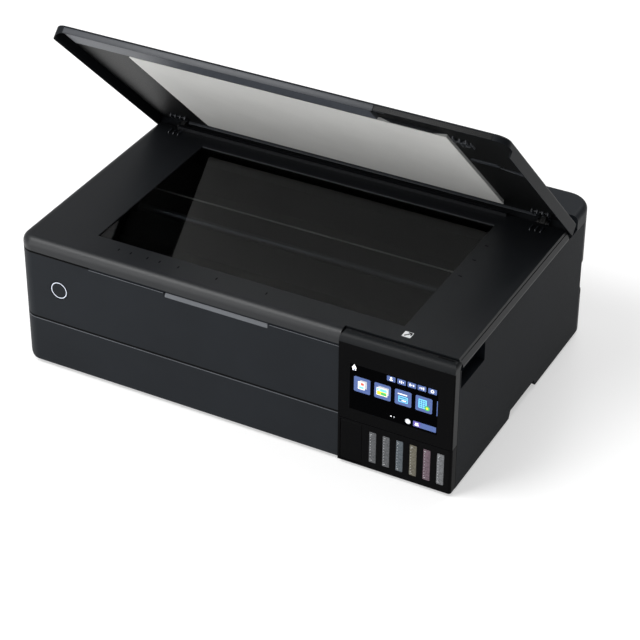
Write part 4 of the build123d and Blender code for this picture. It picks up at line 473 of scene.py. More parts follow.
TANKS: dict[str, Finishes] = {
    "black": Finishes.INK_BLACK,
    "photo_black": Finishes.INK_PHOTO,
    "cyan": Finishes.INK_CYAN,
    "yellow": Finishes.INK_YELLOW,
    "magenta": Finishes.INK_MAGENTA,
    "grey": Finishes.INK_GREY,
}


def dress(piece: Piece, finish: Finishes, body: str) -> Piece:
    """Give a piece its finish and fix it to a body.

    Args:
        piece: The piece.
        finish: Its finish.
        body: The body that carries it.

    Returns:
        The piece.
    """
    finish.coat(piece)
    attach(piece, body)
    LOG.info("piece %s rides on %s", piece.name, body)
    return piece


class Kind(Enum):
    """The kinds of element in a mesh, with the names of their lists."""

    VERT = "vertices"
    EDGE = "edges"
    FACE = "polygons"


FaceTest = Callable[[bpy.types.MeshPolygon], bool]
EdgeTest = Callable[[Vector, Vector], bool]


def looking(side: Point) -> FaceTest:
    """Give a test for faces that look one way."""
    return lambda face: face.normal.dot(Vector(side)) > SAME_WAY


def front_left(left: float, front: float) -> EdgeTest:
    """Give a test for the upright edge at a front left corner."""
    return lambda a, b: max(a.x, b.x) < left + SLACK and max(a.y, b.y) < front + SLACK


def facing(axis: Point) -> Euler:
    """Give the turn that brings a piece from the upright to an axis."""
    return Vector(UP).rotation_difference(Vector(axis)).to_euler()


class Shop:
    """The modelling bench: primitives that are shaped by hand operators."""

    @staticmethod
    def take(piece: Piece) -> Piece:
        """Select one piece alone and make it active.

        Args:
            piece: The piece.

        Returns:
            The piece.
        """
        bpy.ops.object.select_all(action="DESELECT")
        piece.select_set(True)
        bpy.context.view_layer.objects.active = piece
        return piece

    @staticmethod
    def label(piece: Piece, name: str) -> Piece:
        """Name a piece and its mesh."""
        piece.name = piece.data.name = name
        return piece

    @staticmethod
    def fresh(name: str) -> Piece:
        """Name the piece that an operator has just made."""
        return Shop.label(bpy.context.object, name)

    @staticmethod
    def settle(piece: Piece) -> Piece:
        """Move a piece's place, turn and size into its mesh.

        Args:
            piece: The piece.

        Returns:
            The piece.
        """
        Shop.take(piece)
        bpy.ops.object.transform_apply(location=True, rotation=True, scale=True)
        return piece

    @staticmethod
    @contextmanager
    def edit(piece: Piece) -> Iterator[None]:
        """Hold a piece in edit mode with its whole mesh selected.

        Args:
            piece: The piece.

        Yields:
            Nothing, while the mesh is selected.
        """
        Shop.take(piece)
        bpy.ops.object.mode_set(mode="EDIT")
        bpy.ops.mesh.select_mode(type="VERT")
        bpy.ops.mesh.select_all(action="SELECT")
        yield
        bpy.ops.object.mode_set(mode="OBJECT")

    @staticmethod
    @contextmanager
    def chosen(piece: Piece, kind: Kind, test: Callable[..., bool]) -> Iterator[None]:
        """Hold a piece in edit mode with the elements selected that pass a test.

        Args:
            piece: The piece.
            kind: The kind of element.
            test: Says whether an element is wanted.

        Yields:
            Nothing, while the elements are selected.
        """
        with Shop.edit(piece):
            bpy.ops.mesh.select_mode(type=kind.name)
            bpy.ops.mesh.select_all(action="DESELECT")
            bpy.ops.object.mode_set(mode="OBJECT")
            for element in getattr(piece.data, kind.value):
                element.select = test(element)
            bpy.ops.object.mode_set(mode="EDIT")
            yield

    @staticmethod
    def modify(piece: Piece, kind: str, **values: object) -> Piece:
        """Apply one modifier to a piece.

        Args:
            piece: The piece.
            kind: The modifier's type name.
            values: Properties to set on the modifier.

        Returns:
            The piece.
        """
        Shop.take(piece)
        modifier = piece.modifiers.new(kind, kind)
        for key, value in values.items():
            setattr(modifier, key, value)
        bpy.ops.object.modifier_apply(modifier=modifier.name)
        return piece

    @staticmethod
    def slab(name: str, x: Pair, y: Pair, z: Pair) -> Piece:
        """Add a straight-sided block between limits in millimetres.

        Args:
            name: Name of the piece.
            x: Limits along X.
            y: Limits along Y.
            z: Limits along Z.

        Returns:
            The block, ready to be shaped.
        """
        centre = [sum(span) / 2 * MM for span in (x, y, z)]
        bpy.ops.mesh.primitive_cube_add(size=1, location=centre)
        piece = Shop.fresh(name)
        piece.scale = [(span[1] - span[0]) * MM for span in (x, y, z)]
        return Shop.settle(piece)

    @staticmethod
    def disc(name: str, centre: Point, radius: float, depth: float, axis: Point, sides: int) -> Piece:
        """Add a round blank in millimetres.

        Args:
            name: Name of the piece.
            centre: Middle of the blank.
            radius: Its radius.
            depth: Its length along the axis.
            axis: The way it faces.
            sides: Corners of the outline.

        Returns:
            The blank.
        """
        size = {"vertices": sides, "radius": radius * MM, "depth": depth * MM}
        place = {"location": Vector(centre) * MM, "rotation": facing(axis)}
        bpy.ops.mesh.primitive_cylinder_add(**size, **place)
        return Shop.settle(Shop.fresh(name))

    @staticmethod
    def section(name: str, middle: Point, width: float, height: float) -> Piece:
        """Add an upright sheet that faces front, in millimetres.

        Args:
            name: Name of the piece.
            middle: Its middle.
            width: Its width.
            height: Its height.

        Returns:
            The sheet, ready to be spun.
        """
        bpy.ops.mesh.primitive_plane_add(size=1, location=Vector(middle) * MM, rotation=facing(FRONT))
        piece = Shop.fresh(name)
        piece.scale = (width * MM, height * MM, 1)
        return Shop.settle(piece)

    @staticmethod
    def spin(steps: int, angle: float, axis: Point) -> None:
        """Spin the selected section about an axis through the origin and close the skin.

        Args:
            steps: Steps of the turn.
            angle: Its angle in radians.
            axis: Its axis.
        """
        bpy.ops.mesh.spin(steps=steps, angle=angle, center=(0, 0, 0), axis=axis)
        bpy.ops.mesh.select_all(action="SELECT")
        bpy.ops.mesh.remove_doubles(threshold=MERGE)
        bpy.ops.mesh.normals_make_consistent(inside=False)

    @staticmethod
    def ring(
        name: str, centre: Point, radius: float, width: float, height: float, axis: Point
    ) -> Piece:
        """Turn a small section into a flat ring.

        Args:
            name: Name of the piece.
            centre: Centre of the ring in millimetres.
            radius: Mean radius.
            width: Width of the section across the ring.
            height: Height of the section along the axis.
            axis: Axis of the ring.

        Returns:
            The ring.
        """
        piece = Shop.section(name, (radius, 0, 0), width, height)
        with Shop.edit(piece):
            bpy.ops.mesh.delete(type="ONLY_FACE")
            bpy.ops.mesh.select_all(action="SELECT")
            Shop.spin(steps=72, angle=2 * math.pi, axis=UP)
        piece.rotation_euler = facing(axis)
        piece.location = Vector(centre) * MM
        return Shop.settle(piece)

    @staticmethod
    def arc(name: str, x: Span, middle: Pair, radius: float, height: float, ends: Pair) -> Piece:
        """Turn a thin strip about an axis along X.

        Args:
            name: Name of the piece.
            x: Limits along X.
            middle: Y and Z of the axis.
            radius: Inner radius.
            height: Height of the strip.
            ends: Angles of its ends, from straight up towards the rear, in degrees.

        Returns:
            The strip.
        """
        piece = Shop.section(name, (x.middle, 0, radius + height / 2), x.high - x.low, height)
        piece.rotation_euler = (-math.radians(ends[0]), 0, 0)
        with Shop.edit(Shop.settle(piece)):
            Shop.spin(steps=24, angle=math.radians(ends[1] - ends[0]), axis=LEFT)
        piece.location = Vector((0, *middle)) * MM
        return Shop.settle(piece)

    @staticmethod
    def rib(name: str, x: Pair, y: Pair, z: Pair, side: Point, taper: float) -> Piece:
        """Add a rib whose one face is drawn in, as on a moulding.

        Args:
            name: Name of the piece.
            x: Limits along X.
            y: Limits along Y.
            z: Limits along Z.
            side: The way the drawn-in face looks.
            taper: Size of that face against the root.

        Returns:
            The rib.
        """
        piece = Shop.slab(name, x, y, z)
        across = tuple(not value for value in side)
        pivot = Vector([sum(span) / 2 for span in (x, y, z)]) * MM
        with Shop.chosen(piece, Kind.FACE, looking(side)):
            bpy.ops.transform.resize(
                value=[taper] * 3, center_override=pivot, constraint_axis=across
            )
        return Shop.bevel(piece, RIB_ROUND * min(high - low for low, high in (x, y, z)))

    @staticmethod
    def inset(piece: Piece, side: Point, margin: float, depth: float) -> Piece:
        """Inset the faces that look one way, and sink or raise them.

        Args:
            piece: The piece.
            side: The way the faces look.
            margin: Width of the rim in millimetres.
            depth: Height in millimetres, negative to sink.

        Returns:
            The piece.
        """
        with Shop.chosen(piece, Kind.FACE, looking(side)):
            bpy.ops.mesh.inset(thickness=margin * MM, depth=depth * MM)
        return piece

    @staticmethod
    def drop_faces(piece: Piece, test: FaceTest) -> Piece:
        """Delete the faces of a piece that pass a test.

        Args:
            piece: The piece.
            test: Says whether a face is to go.

        Returns:
            The piece.
        """
        with Shop.chosen(piece, Kind.FACE, test):
            bpy.ops.mesh.delete(type="FACE")
        return piece

    @staticmethod
    def shift(piece: Piece, test: Callable[[Vector], bool], move: Point) -> Piece:
        """Move the corners of a piece that pass a test.

        Args:
            piece: The piece.
            test: Says whether a corner is wanted, from its place in millimetres.
            move: The move in millimetres.

        Returns:
            The piece.
        """
        with Shop.chosen(piece, Kind.VERT, lambda corner: test(corner.co / MM)):
            bpy.ops.transform.translate(value=Vector(move) * MM)
        return piece

    @staticmethod
    def turn(piece: Piece, angle: float, axis: str, centre: Point) -> Piece:
        """Turn a piece's mesh about a point.

        Args:
            piece: The piece.
            angle: The angle in radians.
            axis: X, Y or Z.
            centre: The point in millimetres.

        Returns:
            The piece.
        """
        pivot = Vector(centre) * MM
        with Shop.edit(piece):
            bpy.ops.transform.rotate(value=angle, orient_axis=axis, center_override=pivot)
        return piece

    @staticmethod
    def split(piece: Piece, place: Point, normal: Point) -> Piece:
        """Cut a line of edges round a piece where a plane meets it.

        Args:
            piece: The piece.
            place: A point of the plane in millimetres.
            normal: The way the plane looks.

        Returns:
            The piece.
        """
        with Shop.edit(piece):
            bpy.ops.mesh.bisect(plane_co=Vector(place) * MM, plane_no=normal)
        return piece

    @staticmethod
    def round_edges(piece: Piece, test: EdgeTest, radius: float, segments: int) -> Piece:
        """Round the edges of a piece that pass a test.

        Args:
            piece: The piece.
            test: Says whether an edge is wanted, from its two ends in millimetres.
            radius: Radius in millimetres.
            segments: Faces across the round.

        Returns:
            The piece.
        """
        def wanted(edge: bpy.types.MeshEdge) -> bool:
            """Put an edge's ends to the test."""
            return test(*(piece.data.vertices[index].co / MM for index in edge.vertices))

        with Shop.chosen(piece, Kind.EDGE, wanted):
            bpy.ops.mesh.bevel(offset=radius * MM, segments=segments, profile=0.5)
        return piece

    @staticmethod
    def round_corners(piece: Piece, axis: Point, radius: float, segments: int) -> Piece:
        """Round the edges of a piece that run along one axis.

        Args:
            piece: The piece.
            axis: The way the edges run.
            radius: Radius in millimetres.
            segments: Faces round each corner.

        Returns:
            The piece.
        """
        def along(a: Vector, b: Vector) -> bool:
            """Say whether an edge runs along the axis."""
            return abs((b - a).normalized().dot(Vector(axis))) > SAME_WAY

        return Shop.round_edges(piece, along, radius, segments)

    @staticmethod
    def bevel(piece: Piece, width: float, segments: int = 2, angle: float = 30.0) -> Piece:
        """Round the sharp edges of a piece with an applied bevel.

        Args:
            piece: The piece.
            width: Width of the bevel in millimetres.
            segments: Faces across the bevel.
            angle: Smallest edge angle that is rounded, in degrees.

        Returns:
            The piece.
        """
        size = {"width": width * MM, "segments": segments}
        limit = {"limit_method": "ANGLE", "angle_limit": math.radians(angle)}
        return Shop.modify(piece, "BEVEL", **size, **limit)

    @staticmethod
    def thicken(piece: Piece, thickness: float) -> Piece:
        """Give an open skin a thickness to its inner side."""
        return Shop.modify(piece, "SOLIDIFY", thickness=thickness * MM, offset=-1.0)

    @staticmethod
    def smooth(piece: Piece, angle: float = 35.0) -> Piece:
        """Shade a piece smooth below an edge angle.

        Args:
            piece: The piece.
            angle: The angle in degrees.

        Returns:
            The piece.
        """
        Shop.take(piece)
        bpy.ops.object.shade_smooth_by_angle(angle=math.radians(angle))
        return piece

    @staticmethod
    def join(name: str, parts: Sequence[Piece]) -> Piece:
        """Join several pieces into one mesh.

        Args:
            name: Name of the joined piece.
            parts: The pieces.

        Returns:
            The joined piece.
        """
        Shop.take(parts[0])
        for part in parts[1:]:
            part.select_set(True)
        bpy.ops.object.join()
        return Shop.fresh(name)

    @staticmethod
    def copy(piece: Piece, name: str, move: Point) -> Piece:
        """Copy a piece with its own mesh and move the copy.

        Args:
            piece: The piece.
            name: Name of the copy.
            move: The move in millimetres.

        Returns:
            The copy.
        """
        Shop.take(piece)
        bpy.ops.object.duplicate(linked=False)
        twin = Shop.fresh(name)
        twin.location = Vector(move) * MM
        return Shop.settle(twin)

    @staticmethod
    def row(piece: Piece, moves: Sequence[Point]) -> list[Piece]:
        """Give a piece and its copies, each copy with its move in millimetres."""
        return [piece, *(Shop.copy(piece, piece.name, move) for move in moves)]


@dataclass(frozen=True)
class Patch:
    """A lit patch of a sign, with rounded corners.

    Attributes:
        finish: Its finish.
        place: X and Z of its middle from the sign's middle, in millimetres.
        size: Its width and height.
        layer: How many layers lie under it.
        corner: Radius of its corners.
    """

    finish: Finishes
    place: Pair
    size: Pair
    layer: int
    corner: float = 0.4

    def shape(self, middle: Pair, y: Span) -> Piece:
        """Shape the patch.

        Args:
            middle: X and Z of its middle.
            y: Limits of its layer.

        Returns:
            The patch.
        """
        x, z = (around(*side) for side in zip(middle, self.size))
        corner = min(self.corner, min(self.size) * PATCH_ROUND)
        return Shop.round_corners(Shop.slab("patch", x, y, z), REAR, corner, segments=4)


@dataclass(frozen=True)
class Dot:
    """A round or many-sided patch of a sign, with a bevelled rim.

    Attributes:
        finish: Its finish.
        radius: Its radius in millimetres.
        layer: How many layers lie under it.
        place: X and Z of its middle from the sign's middle.
        sides: Corners of its outline.
    """

    finish: Finishes
    radius: float
    layer: int
    place: Pair = (0, 0)
    sides: int = 28

    def shape(self, middle: Pair, y: Span) -> Piece:
        """Shape the dot.

        Args:
            middle: X and Z of its middle.
            y: Limits of its layer.

        Returns:
            The dot.
        """
        x, z = middle
        dot = Shop.disc("dot", (x, y.middle, z), self.radius, y.high - y.low, FRONT, self.sides)
        return Shop.inset(dot, FRONT, self.radius * DOT_RIM, DOT_RISE)


Mark = Union[Patch, Dot]
Sign = tuple[Mark, ...]

HOUSE: Sign = (
    Dot(Finishes.UI_WHITE, 3.2, 0, (0, 1.2), sides=3),
    Patch(Finishes.UI_WHITE, (0, -1.5), (4.0, 3.2), 0, 0.2),
    Patch(Finishes.UI_DEEP, (0, -2.0), (1.2, 2.2), 1, 0.1),
)
FIGURE: Sign = (
    Dot(Finishes.UI_WHITE, 1.2, 1, (0, 1.0)),
    Patch(Finishes.UI_WHITE, (0, -1.3), (3.6, 1.5), 1, 0.6),
)
BARS: tuple[Sign, ...] = tuple(
    tuple(
        Patch(Finishes.UI_WHITE, (2.0 * step - 2.0, 0), (1.1, 1.4 + (step + turn) % 3), 1, 0.2)
        for step in range(3)
    )
    for turn in (1, 2, 3)
)
WHEEL: Sign = (Dot(Finishes.UI_WHITE, 2.0, 1, sides=12), Dot(Finishes.UI_BLUE, 0.9, 2))
SHEETS: Sign = (
    Patch(Finishes.UI_GREY, (1.6, 1.2), (7.6, 9.4), 1),
    Patch(Finishes.UI_WHITE, (-0.8, -0.6), (7.6, 9.4), 2),
    Patch(Finishes.UI_RED, (0.4, 1.4), (3.4, 3.2), 3, 0.2),
    Patch(Finishes.UI_CYAN, (-0.6, -2.8), (5.0, 2.6), 3, 0.2),
)
LANDSCAPE: Sign = (
    Patch(Finishes.UI_GREY, (1.2, 1.6), (11.6, 8.6), 1),
    Patch(Finishes.UI_WHITE, (-0.6, -0.6), (12.2, 9.2), 2),
    Patch(Finishes.UI_YELLOW, (-0.6, -0.6), (10.8, 7.8), 3, 0.2),
    Patch(Finishes.UI_CYAN, (-0.6, 1.6), (10.8, 3.4), 4, 0.2),
    Patch(Finishes.UI_GREEN, (1.4, -2.6), (6.6, 3.2), 5, 1.4),
    Dot(Finishes.UI_WHITE, 1.0, 5, (-3.4, 1.7)),
)
FLATBED: Sign = (
    Patch(Finishes.UI_CYAN, (0, -1.8), (10.6, 7.4), 1, 0.8),
    Patch(Finishes.UI_DEEP, (0, 0.2), (8.6, 1.0), 2, 0.3),
    Patch(Finishes.UI_BLUE, (0, -3.2), (8.6, 2.6), 2, 0.4),
    Patch(Finishes.UI_WHITE, (1.0, -3.2), (5.0, 1.2), 3, 0.3),
    Patch(Finishes.UI_WHITE, (-0.8, 4.2), (10.8, 1.3), 1, 0.5),
)
RULED_SHEET: Sign = (
    Patch(Finishes.UI_CYAN, (-1.4, 0.2), (9.2, 11.0), 1),
    *(Patch(Finishes.UI_DEEP, (-1.4, 2.4 * step - 3.4), (7.8, 0.45), 2, 0.1) for step in range(4)),
    *(Patch(Finishes.UI_DEEP, (2.6 * step - 4.0, 0.2), (0.45, 9.4), 3, 0.1) for step in range(3)),
    Dot(Finishes.UI_GREEN, 3.0, 4, (3.8, -3.6), sides=10),
    Dot(Finishes.UI_YELLOW, 1.3, 5, (3.8, -3.6)),
)
KEY: Sign = (
    Patch(Finishes.UI_BLUE, (0, 0), (25.4, 6.6), 0, 0.8),
    Patch(Finishes.UI_VIOLET, (-8.6, 0), (7.8, 6.2), 1, 0.8),
    Patch(Finishes.UI_WHITE, (-8.6, 0.7), (3.4, 2.0), 2, 0.3),
    Patch(Finishes.UI_WHITE, (-8.6, -1.3), (4.6, 1.2), 2, 0.3),
)
LOWER_ROW: tuple[tuple[float, float, Sign], ...] = (
    (0.480, 0.11, (Dot(Finishes.UI_WHITE, 0.8, 0),)),
    (0.515, 0.11, (Dot(Finishes.UI_GREY, 0.8, 0),)),
    (0.672, 0.11, (Dot(Finishes.UI_GREY, 3.1, 0), Dot(Finishes.UI_WHITE, 2.0, 1))),
    (0.861, 0.107, KEY),
)


@dataclass
class Screen:
    """The touch display with its lit icons.

    Attributes:
        tile: Side of a large tile in millimetres.
        tile_u: Shares of the display's width at the tiles' middles.
        tile_v: Share of its height at their middles.
        next_u: Share of the width at the edge of the next tile.
        next_width: Width of that edge.
        chip: Width and height of a small tile in the top row.
        chip_u: Shares of the width at the small tiles' middles.
        chip_v: Share of the height at their middles.
        home_u: Share of the width at the small house.
        lift: Height of one printed layer.
        rim: Width of the rim of the glass.
        edge: Width of the bevel round it.
        lit: The pieces laid so far, by finish.
        made: The first piece of each kind of mark, with X and Z of its middle.
    """

    tile: float = 18.4
    tile_u: tuple[float, ...] = (0.1425, 0.3765, 0.6105, 0.8445)
    tile_v: float = 0.5875
    next_u: float = 0.994
    next_width: float = 0.9
    chip: Pair = (9.4, 6.2)
    chip_u: tuple[float, ...] = (0.471, 0.588, 0.704, 0.816, 0.935)
    chip_v: float = 0.925
    home_u: float = 0.05
    lift: float = 0.06
    rim: float = 0.4
    edge: float = 0.15
    lit: dict[Finishes, list[Piece]] = field(default_factory=dict)
    made: dict[Mark, tuple[Piece, Pair]] = field(default_factory=dict)

    def piece(self, mark: Mark, x: float, z: float) -> Piece:
        """Shape a mark in its layer, or copy the first one of its kind.

        Args:
            mark: The mark.
            x: X of its middle.
            z: Z of its middle.

        Returns:
            The piece.
        """
        kind = replace(mark, place=(0, 0))
        if kind in self.made:
            first, (first_x, first_z) = self.made[kind]
            return Shop.copy(first, first.name, (x - first_x, 0, z - first_z))
        front = box("display").y.low - mark.layer * self.lift
        piece = mark.shape((x, z), Span(front - self.lift, front))
        self.made[kind] = (piece, (x, z))
        return piece

    def lay(self, u: float, v: float, sign: Sign) -> None:
        """Lay one sign on the display.

        Args:
            u: Share of the display's width at its middle.
            v: Share of the height at its middle.
            sign: The sign.
        """
        x, _, z = box("display")
        for mark in sign:
            piece = self.piece(mark, x.at(u) + mark.place[0], z.at(v) + mark.place[1])
            self.lit.setdefault(mark.finish, []).append(piece)

    def signs(self) -> None:
        """Lay the small house, the small tiles, the large tiles and the lower row."""
        self.lay(self.home_u, self.chip_v, HOUSE)
        chip = Patch(Finishes.UI_BLUE, (0, 0), self.chip, layer=0, corner=0.8)
        for u, sign in zip(self.chip_u, (FIGURE, *BARS, WHEEL)):
            self.lay(u, self.chip_v, (chip, *sign))
        tile = Patch(Finishes.UI_BLUE, (0, 0), (self.tile, self.tile), layer=0, corner=1.6)
        for u, sign in zip(self.tile_u, (SHEETS, LANDSCAPE, FLATBED, RULED_SHEET)):
            self.lay(u, self.tile_v, (tile, *sign))
        edge = Patch(Finishes.UI_BLUE, (0, 0), (self.next_width, self.tile), layer=0, corner=0.3)
        self.lay(self.next_u, self.tile_v, (edge,))
        for place in LOWER_ROW:
            self.lay(*place)

    def build(self) -> None:
        """Lay the glass and every sign."""
        glass = Shop.slab("screen_glass", *box("display"))
        Shop.bevel(Shop.inset(glass, FRONT, self.rim, depth=0.0), self.edge)
        dress(glass, Finishes.SCREEN, "control")
        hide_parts("display")
        self.signs()
        for finish, parts in self.lit.items():
            piece = Shop.join("screen_" + finish.name.lower(), parts)
            dress(piece, finish, "control")


@dataclass
class PowerRing:
    """The pale ring of light in the power button's groove.

    Attributes:
        radius: Mean radius in millimetres.
        width: Width of the ring.
        height: Height of the ring.
        sunk: Depth of its front behind the button's face.
        edge: Width of the bevel along its edges.
    """

    radius: float = 9.4
    width: float = 0.8
    height: float = 0.3
    sunk: float = 0.05
    edge: float = 0.08

    def build(self) -> None:
        """Turn the ring and set it in the groove."""
        x, y, z = box("power_button")
        centre = (x.middle, y.low + self.sunk + self.height / 2, z.middle)
        ring = Shop.ring("power_ring", centre, self.radius, self.width, self.height, FRONT)
        dress(Shop.smooth(Shop.bevel(ring, self.edge)), Finishes.RING, "button")


@dataclass
class BedEdge:
    """The unbroken skin of the bed's rounded front and left edge.

    Attributes:
        round: Radius of the edge in millimetres.
        corner: Radius of the front left corner, seen from above.
        proud: How far the skin stands off the bed.
        rear: Depth at which the skin ends.
        thick: Thickness of the skin.
        upright: Upward share of a face's normal below which the face stands upright.
        flat: Upward share of the normal above which the face lies flat.
    """

    round: float = 10.05
    corner: float = 18.05
    proud: float = 0.05
    rear: float = 101.0
    thick: float = 1.2
    upright: float = 0.01
    flat: float = 0.9995

    def build(self) -> None:
        """Round a block's corner and upper edge, and keep only the round."""
        left, front = (box("scanner_bed")[axis].low - self.proud for axis in (0, 1))
        right, top = box("front_panel").x.high, bed_top() + self.proud / 2

        def upper(a: Vector, b: Vector) -> bool:
            """Say whether an edge runs along the top's front, corner or left."""
            inside = min(a.x, b.x) < right - SLACK and min(a.y, b.y) < self.rear - SLACK
            return inside and min(a.z, b.z) > top - SLACK

        skin = Shop.slab("bed_edge", (left, right), (front, self.rear), (top - 2 * self.round, top))
        Shop.round_edges(skin, front_left(left, front), self.corner, CORNER_STEPS)
        Shop.round_edges(skin, upper, self.round, segments=12)
        Shop.drop_faces(skin, lambda face: not self.upright <= abs(face.normal.z) <= self.flat)
        dress(Shop.smooth(Shop.thicken(skin, self.thick), SOFT), Finishes.BED, "scanner")


@dataclass
class FrontStrip:
    """The strip under the bed, over the front panel's finger lip, painted mid grey for the highlight
    on its leaned face.

    Attributes:
        x: Its ends in millimetres.
        z: Its lower and upper edge.
        slope: How far its upper edge leans back.
        proud: How far it stands off the panel.
        thick: Its thickness.
        corner: Radius of its ends.
        rim: Width and height of the rim of its face.
    """

    x: Span = Span(-75.0, 48.5)
    z: Span = Span(138.7, 143.4)
    slope: float = 1.7
    proud: float = 0.12
    thick: float = 0.5
    corner: float = 1.4
    rim: Pair = (0.3, 0.02)

    def build(self) -> None:
        """Lean a thin bar back along the lip and round its ends."""
        front = box("front_panel").y.low - self.proud
        strip = Shop.slab("front_strip", self.x, (front, front + self.thick), self.z)
        Shop.round_corners(strip, REAR, self.corner, segments=5)
        Shop.inset(strip, FRONT, *self.rim)
        lean = math.atan2(self.slope, self.z.high - self.z.low)
        Shop.turn(strip, lean, "X", (0, front, self.z.low))
        # Its pale finish paints the highlight that the leaned face catches.
        dress(Shop.smooth(strip, SOFT), Finishes.STRIP, "base")


@dataclass
class FrontSeams:
    """The shadow lines and the lit edges between the front panel, the bed and the lower cover.

    Attributes:
        corner: Radius of the front left corner, seen from above, in millimetres.
        turn: How far a line runs back past the front, as a share of that radius.
        proud: How far a line stands off the panel.
        thick: Thickness of a line.
        shadow: Height of a shadow line.
        edge: Height of a lit edge.
        gap: Distance of the long lines from the panel's right end.
        below: Depth of the lower cover's lit edge below its top.
        lip: Depth of the finger lip's upper edge below the panel's top.
        spans: X limits of the lit edge beside the pale strip.
    """

    corner: float = 18.04
    turn: float = 1.01
    proud: float = 0.04
    thick: float = 0.3
    shadow: float = 1.6
    edge: float = 0.7
    gap: float = 0.3
    below: float = 0.5
    lip: float = 2.0
    spans: tuple[Pair, ...] = ((-170.0, -76.5), (50.0, 130.5))

    def band(self, name: str, z: Pair, end: float) -> Piece:
        """Lead a thin band along the front and round the left corner.

        Args:
            name: Name of the piece.
            z: Its lower and upper edge.
            end: X of its right end.

        Returns:
            The band.
        """
        left, front = (box("front_panel")[axis].low - self.proud for axis in (0, 1))
        band = Shop.slab(name, (left, end), (front, front + self.turn * self.corner), z)
        Shop.round_edges(band, front_left(left, front), self.corner, CORNER_STEPS)
        Shop.drop_faces(
            band, lambda face: max(face.normal.x, face.normal.y, abs(face.normal.z)) > MOSTLY
        )
        return Shop.smooth(Shop.thicken(band, self.thick), SOFT)

    def build(self) -> None:
        """Lay the shadow lines and the lit edges."""
        x, y, z = box("front_panel")
        end, cover, lip = x.high - self.gap, box("front_cover").z.high - self.below, z.high - self.lip
        # Near black bands paint the shadow in the seams; pale bands paint the highlight on the edges
        # beside them.
        shadow = self.band("cover_shadow", (z.low, z.low + self.shadow), end)
        dress(shadow, Finishes.SEAM, "base")
        edge = self.band("cover_edge", (cover - self.edge, cover), end)
        dress(edge, Finishes.EDGE, "cover")
        shadow = self.band("bed_shadow", (z.high - self.shadow, z.high), self.spans[0][0])
        dress(shadow, Finishes.SEAM, "base")
        limits = ((y.low - self.proud, y.low + self.thick), (lip - self.edge, lip))
        beads = [Shop.rib("bead", span, *limits, FRONT, SLIGHT) for span in self.spans]
        dress(Shop.join("panel_edge", beads), Finishes.EDGE, "base")


@dataclass
class BedMarks:
    """The small marks on the scanner bed.

    Attributes:
        ticks: X of the ticks in front of the glass.
        tick_y: Their depth.
        tick_size: Width and length of a tick.
        side_ticks: Y of the ticks right of the glass.
        side_x: Their place along X.
        corner: Middle of the white corner sign.
        sign: Side of the corner sign.
        sign_round: Radius of its corners.
        shaft: Width and length of the arrow's shaft.
        slant: Angle of the shaft to the sign's sides, in degrees.
        barb: Length and width of a barb of its head.
        barb_at: Nearer and farther distance of a barb from the sign's middle.
        height: Height of the ink above the bed.
    """

    ticks: tuple[float, ...] = (-147.0, -132.0, -111.4, -96.3, -73.4, -27.0, 32.4)
    tick_y: float = -160.5
    tick_size: Pair = (1.4, 4.0)
    side_ticks: tuple[float, ...] = (31.7, -0.4, -35.5)
    side_x: float = 194.0
    corner: Pair = (193.4, -159.0)
    sign: float = 9.6
    sign_round: float = 0.6
    shaft: Pair = (1.5, 8.0)
    slant: float = 45.0
    barb: Pair = (4.6, 1.4)
    barb_at: Pair = (1.6, 3.4)
    height: float = 0.12

    def mark(self, name: str, middle: Pair, size: Pair, corner: float = 0.3, under: int = 0) -> Piece:
        """Lay one printed mark on the bed.

        Args:
            name: Name of the piece.
            middle: Its X and Y.
            size: Its width and length.
            corner: Radius of its corners.
            under: How many marks lie under it.

        Returns:
            The mark.
        """
        x, y = (around(*side) for side in zip(middle, size))
        z = Span(0, self.height).moved(bed_top() + under * self.height / 2)
        return Shop.round_corners(Shop.slab(name, x, y, z), UP, corner, segments=3)

    def row(self, places: Sequence[Pair], size: Pair) -> list[Piece]:
        """Lay one tick and copy it to its other places.

        Args:
            places: X and Y of the ticks.
            size: Width and length of a tick.

        Returns:
            The ticks.
        """
        (x, y), *others = places
        return Shop.row(self.mark("tick", (x, y), size), [(a - x, b - y, 0) for a, b in others])

    def arrow(self) -> Piece:
        """Lay the arrow of the corner sign.

        Returns:
            The arrow.
        """
        (x, y), (near, far) = self.corner, self.barb_at
        shaft = self.mark("shaft", self.corner, self.shaft, under=1)
        Shop.turn(shaft, math.radians(self.slant), "Z", (x, y, 0))
        barbs = [
            self.mark("barb", (x + near, y + far), self.barb, under=1),
            self.mark("barb", (x + far, y + near), self.barb[::-1], under=1),
        ]
        return Shop.join("bed_arrow", [shaft, *barbs])

    def build(self) -> None:
        """Lay the ticks and the corner sign."""
        ticks = self.row([(x, self.tick_y) for x in self.ticks], self.tick_size)
        ticks += self.row([(self.side_x, y) for y in self.side_ticks], self.tick_size[::-1])
        dress(Shop.join("bed_ticks", ticks), Finishes.GREY_INK, "scanner")
        sign = self.mark("bed_sign", self.corner, (self.sign, self.sign), self.sign_round)
        dress(sign, Finishes.WHITE_INK, "scanner")
        dress(self.arrow(), Finishes.DARK_INK, "scanner")


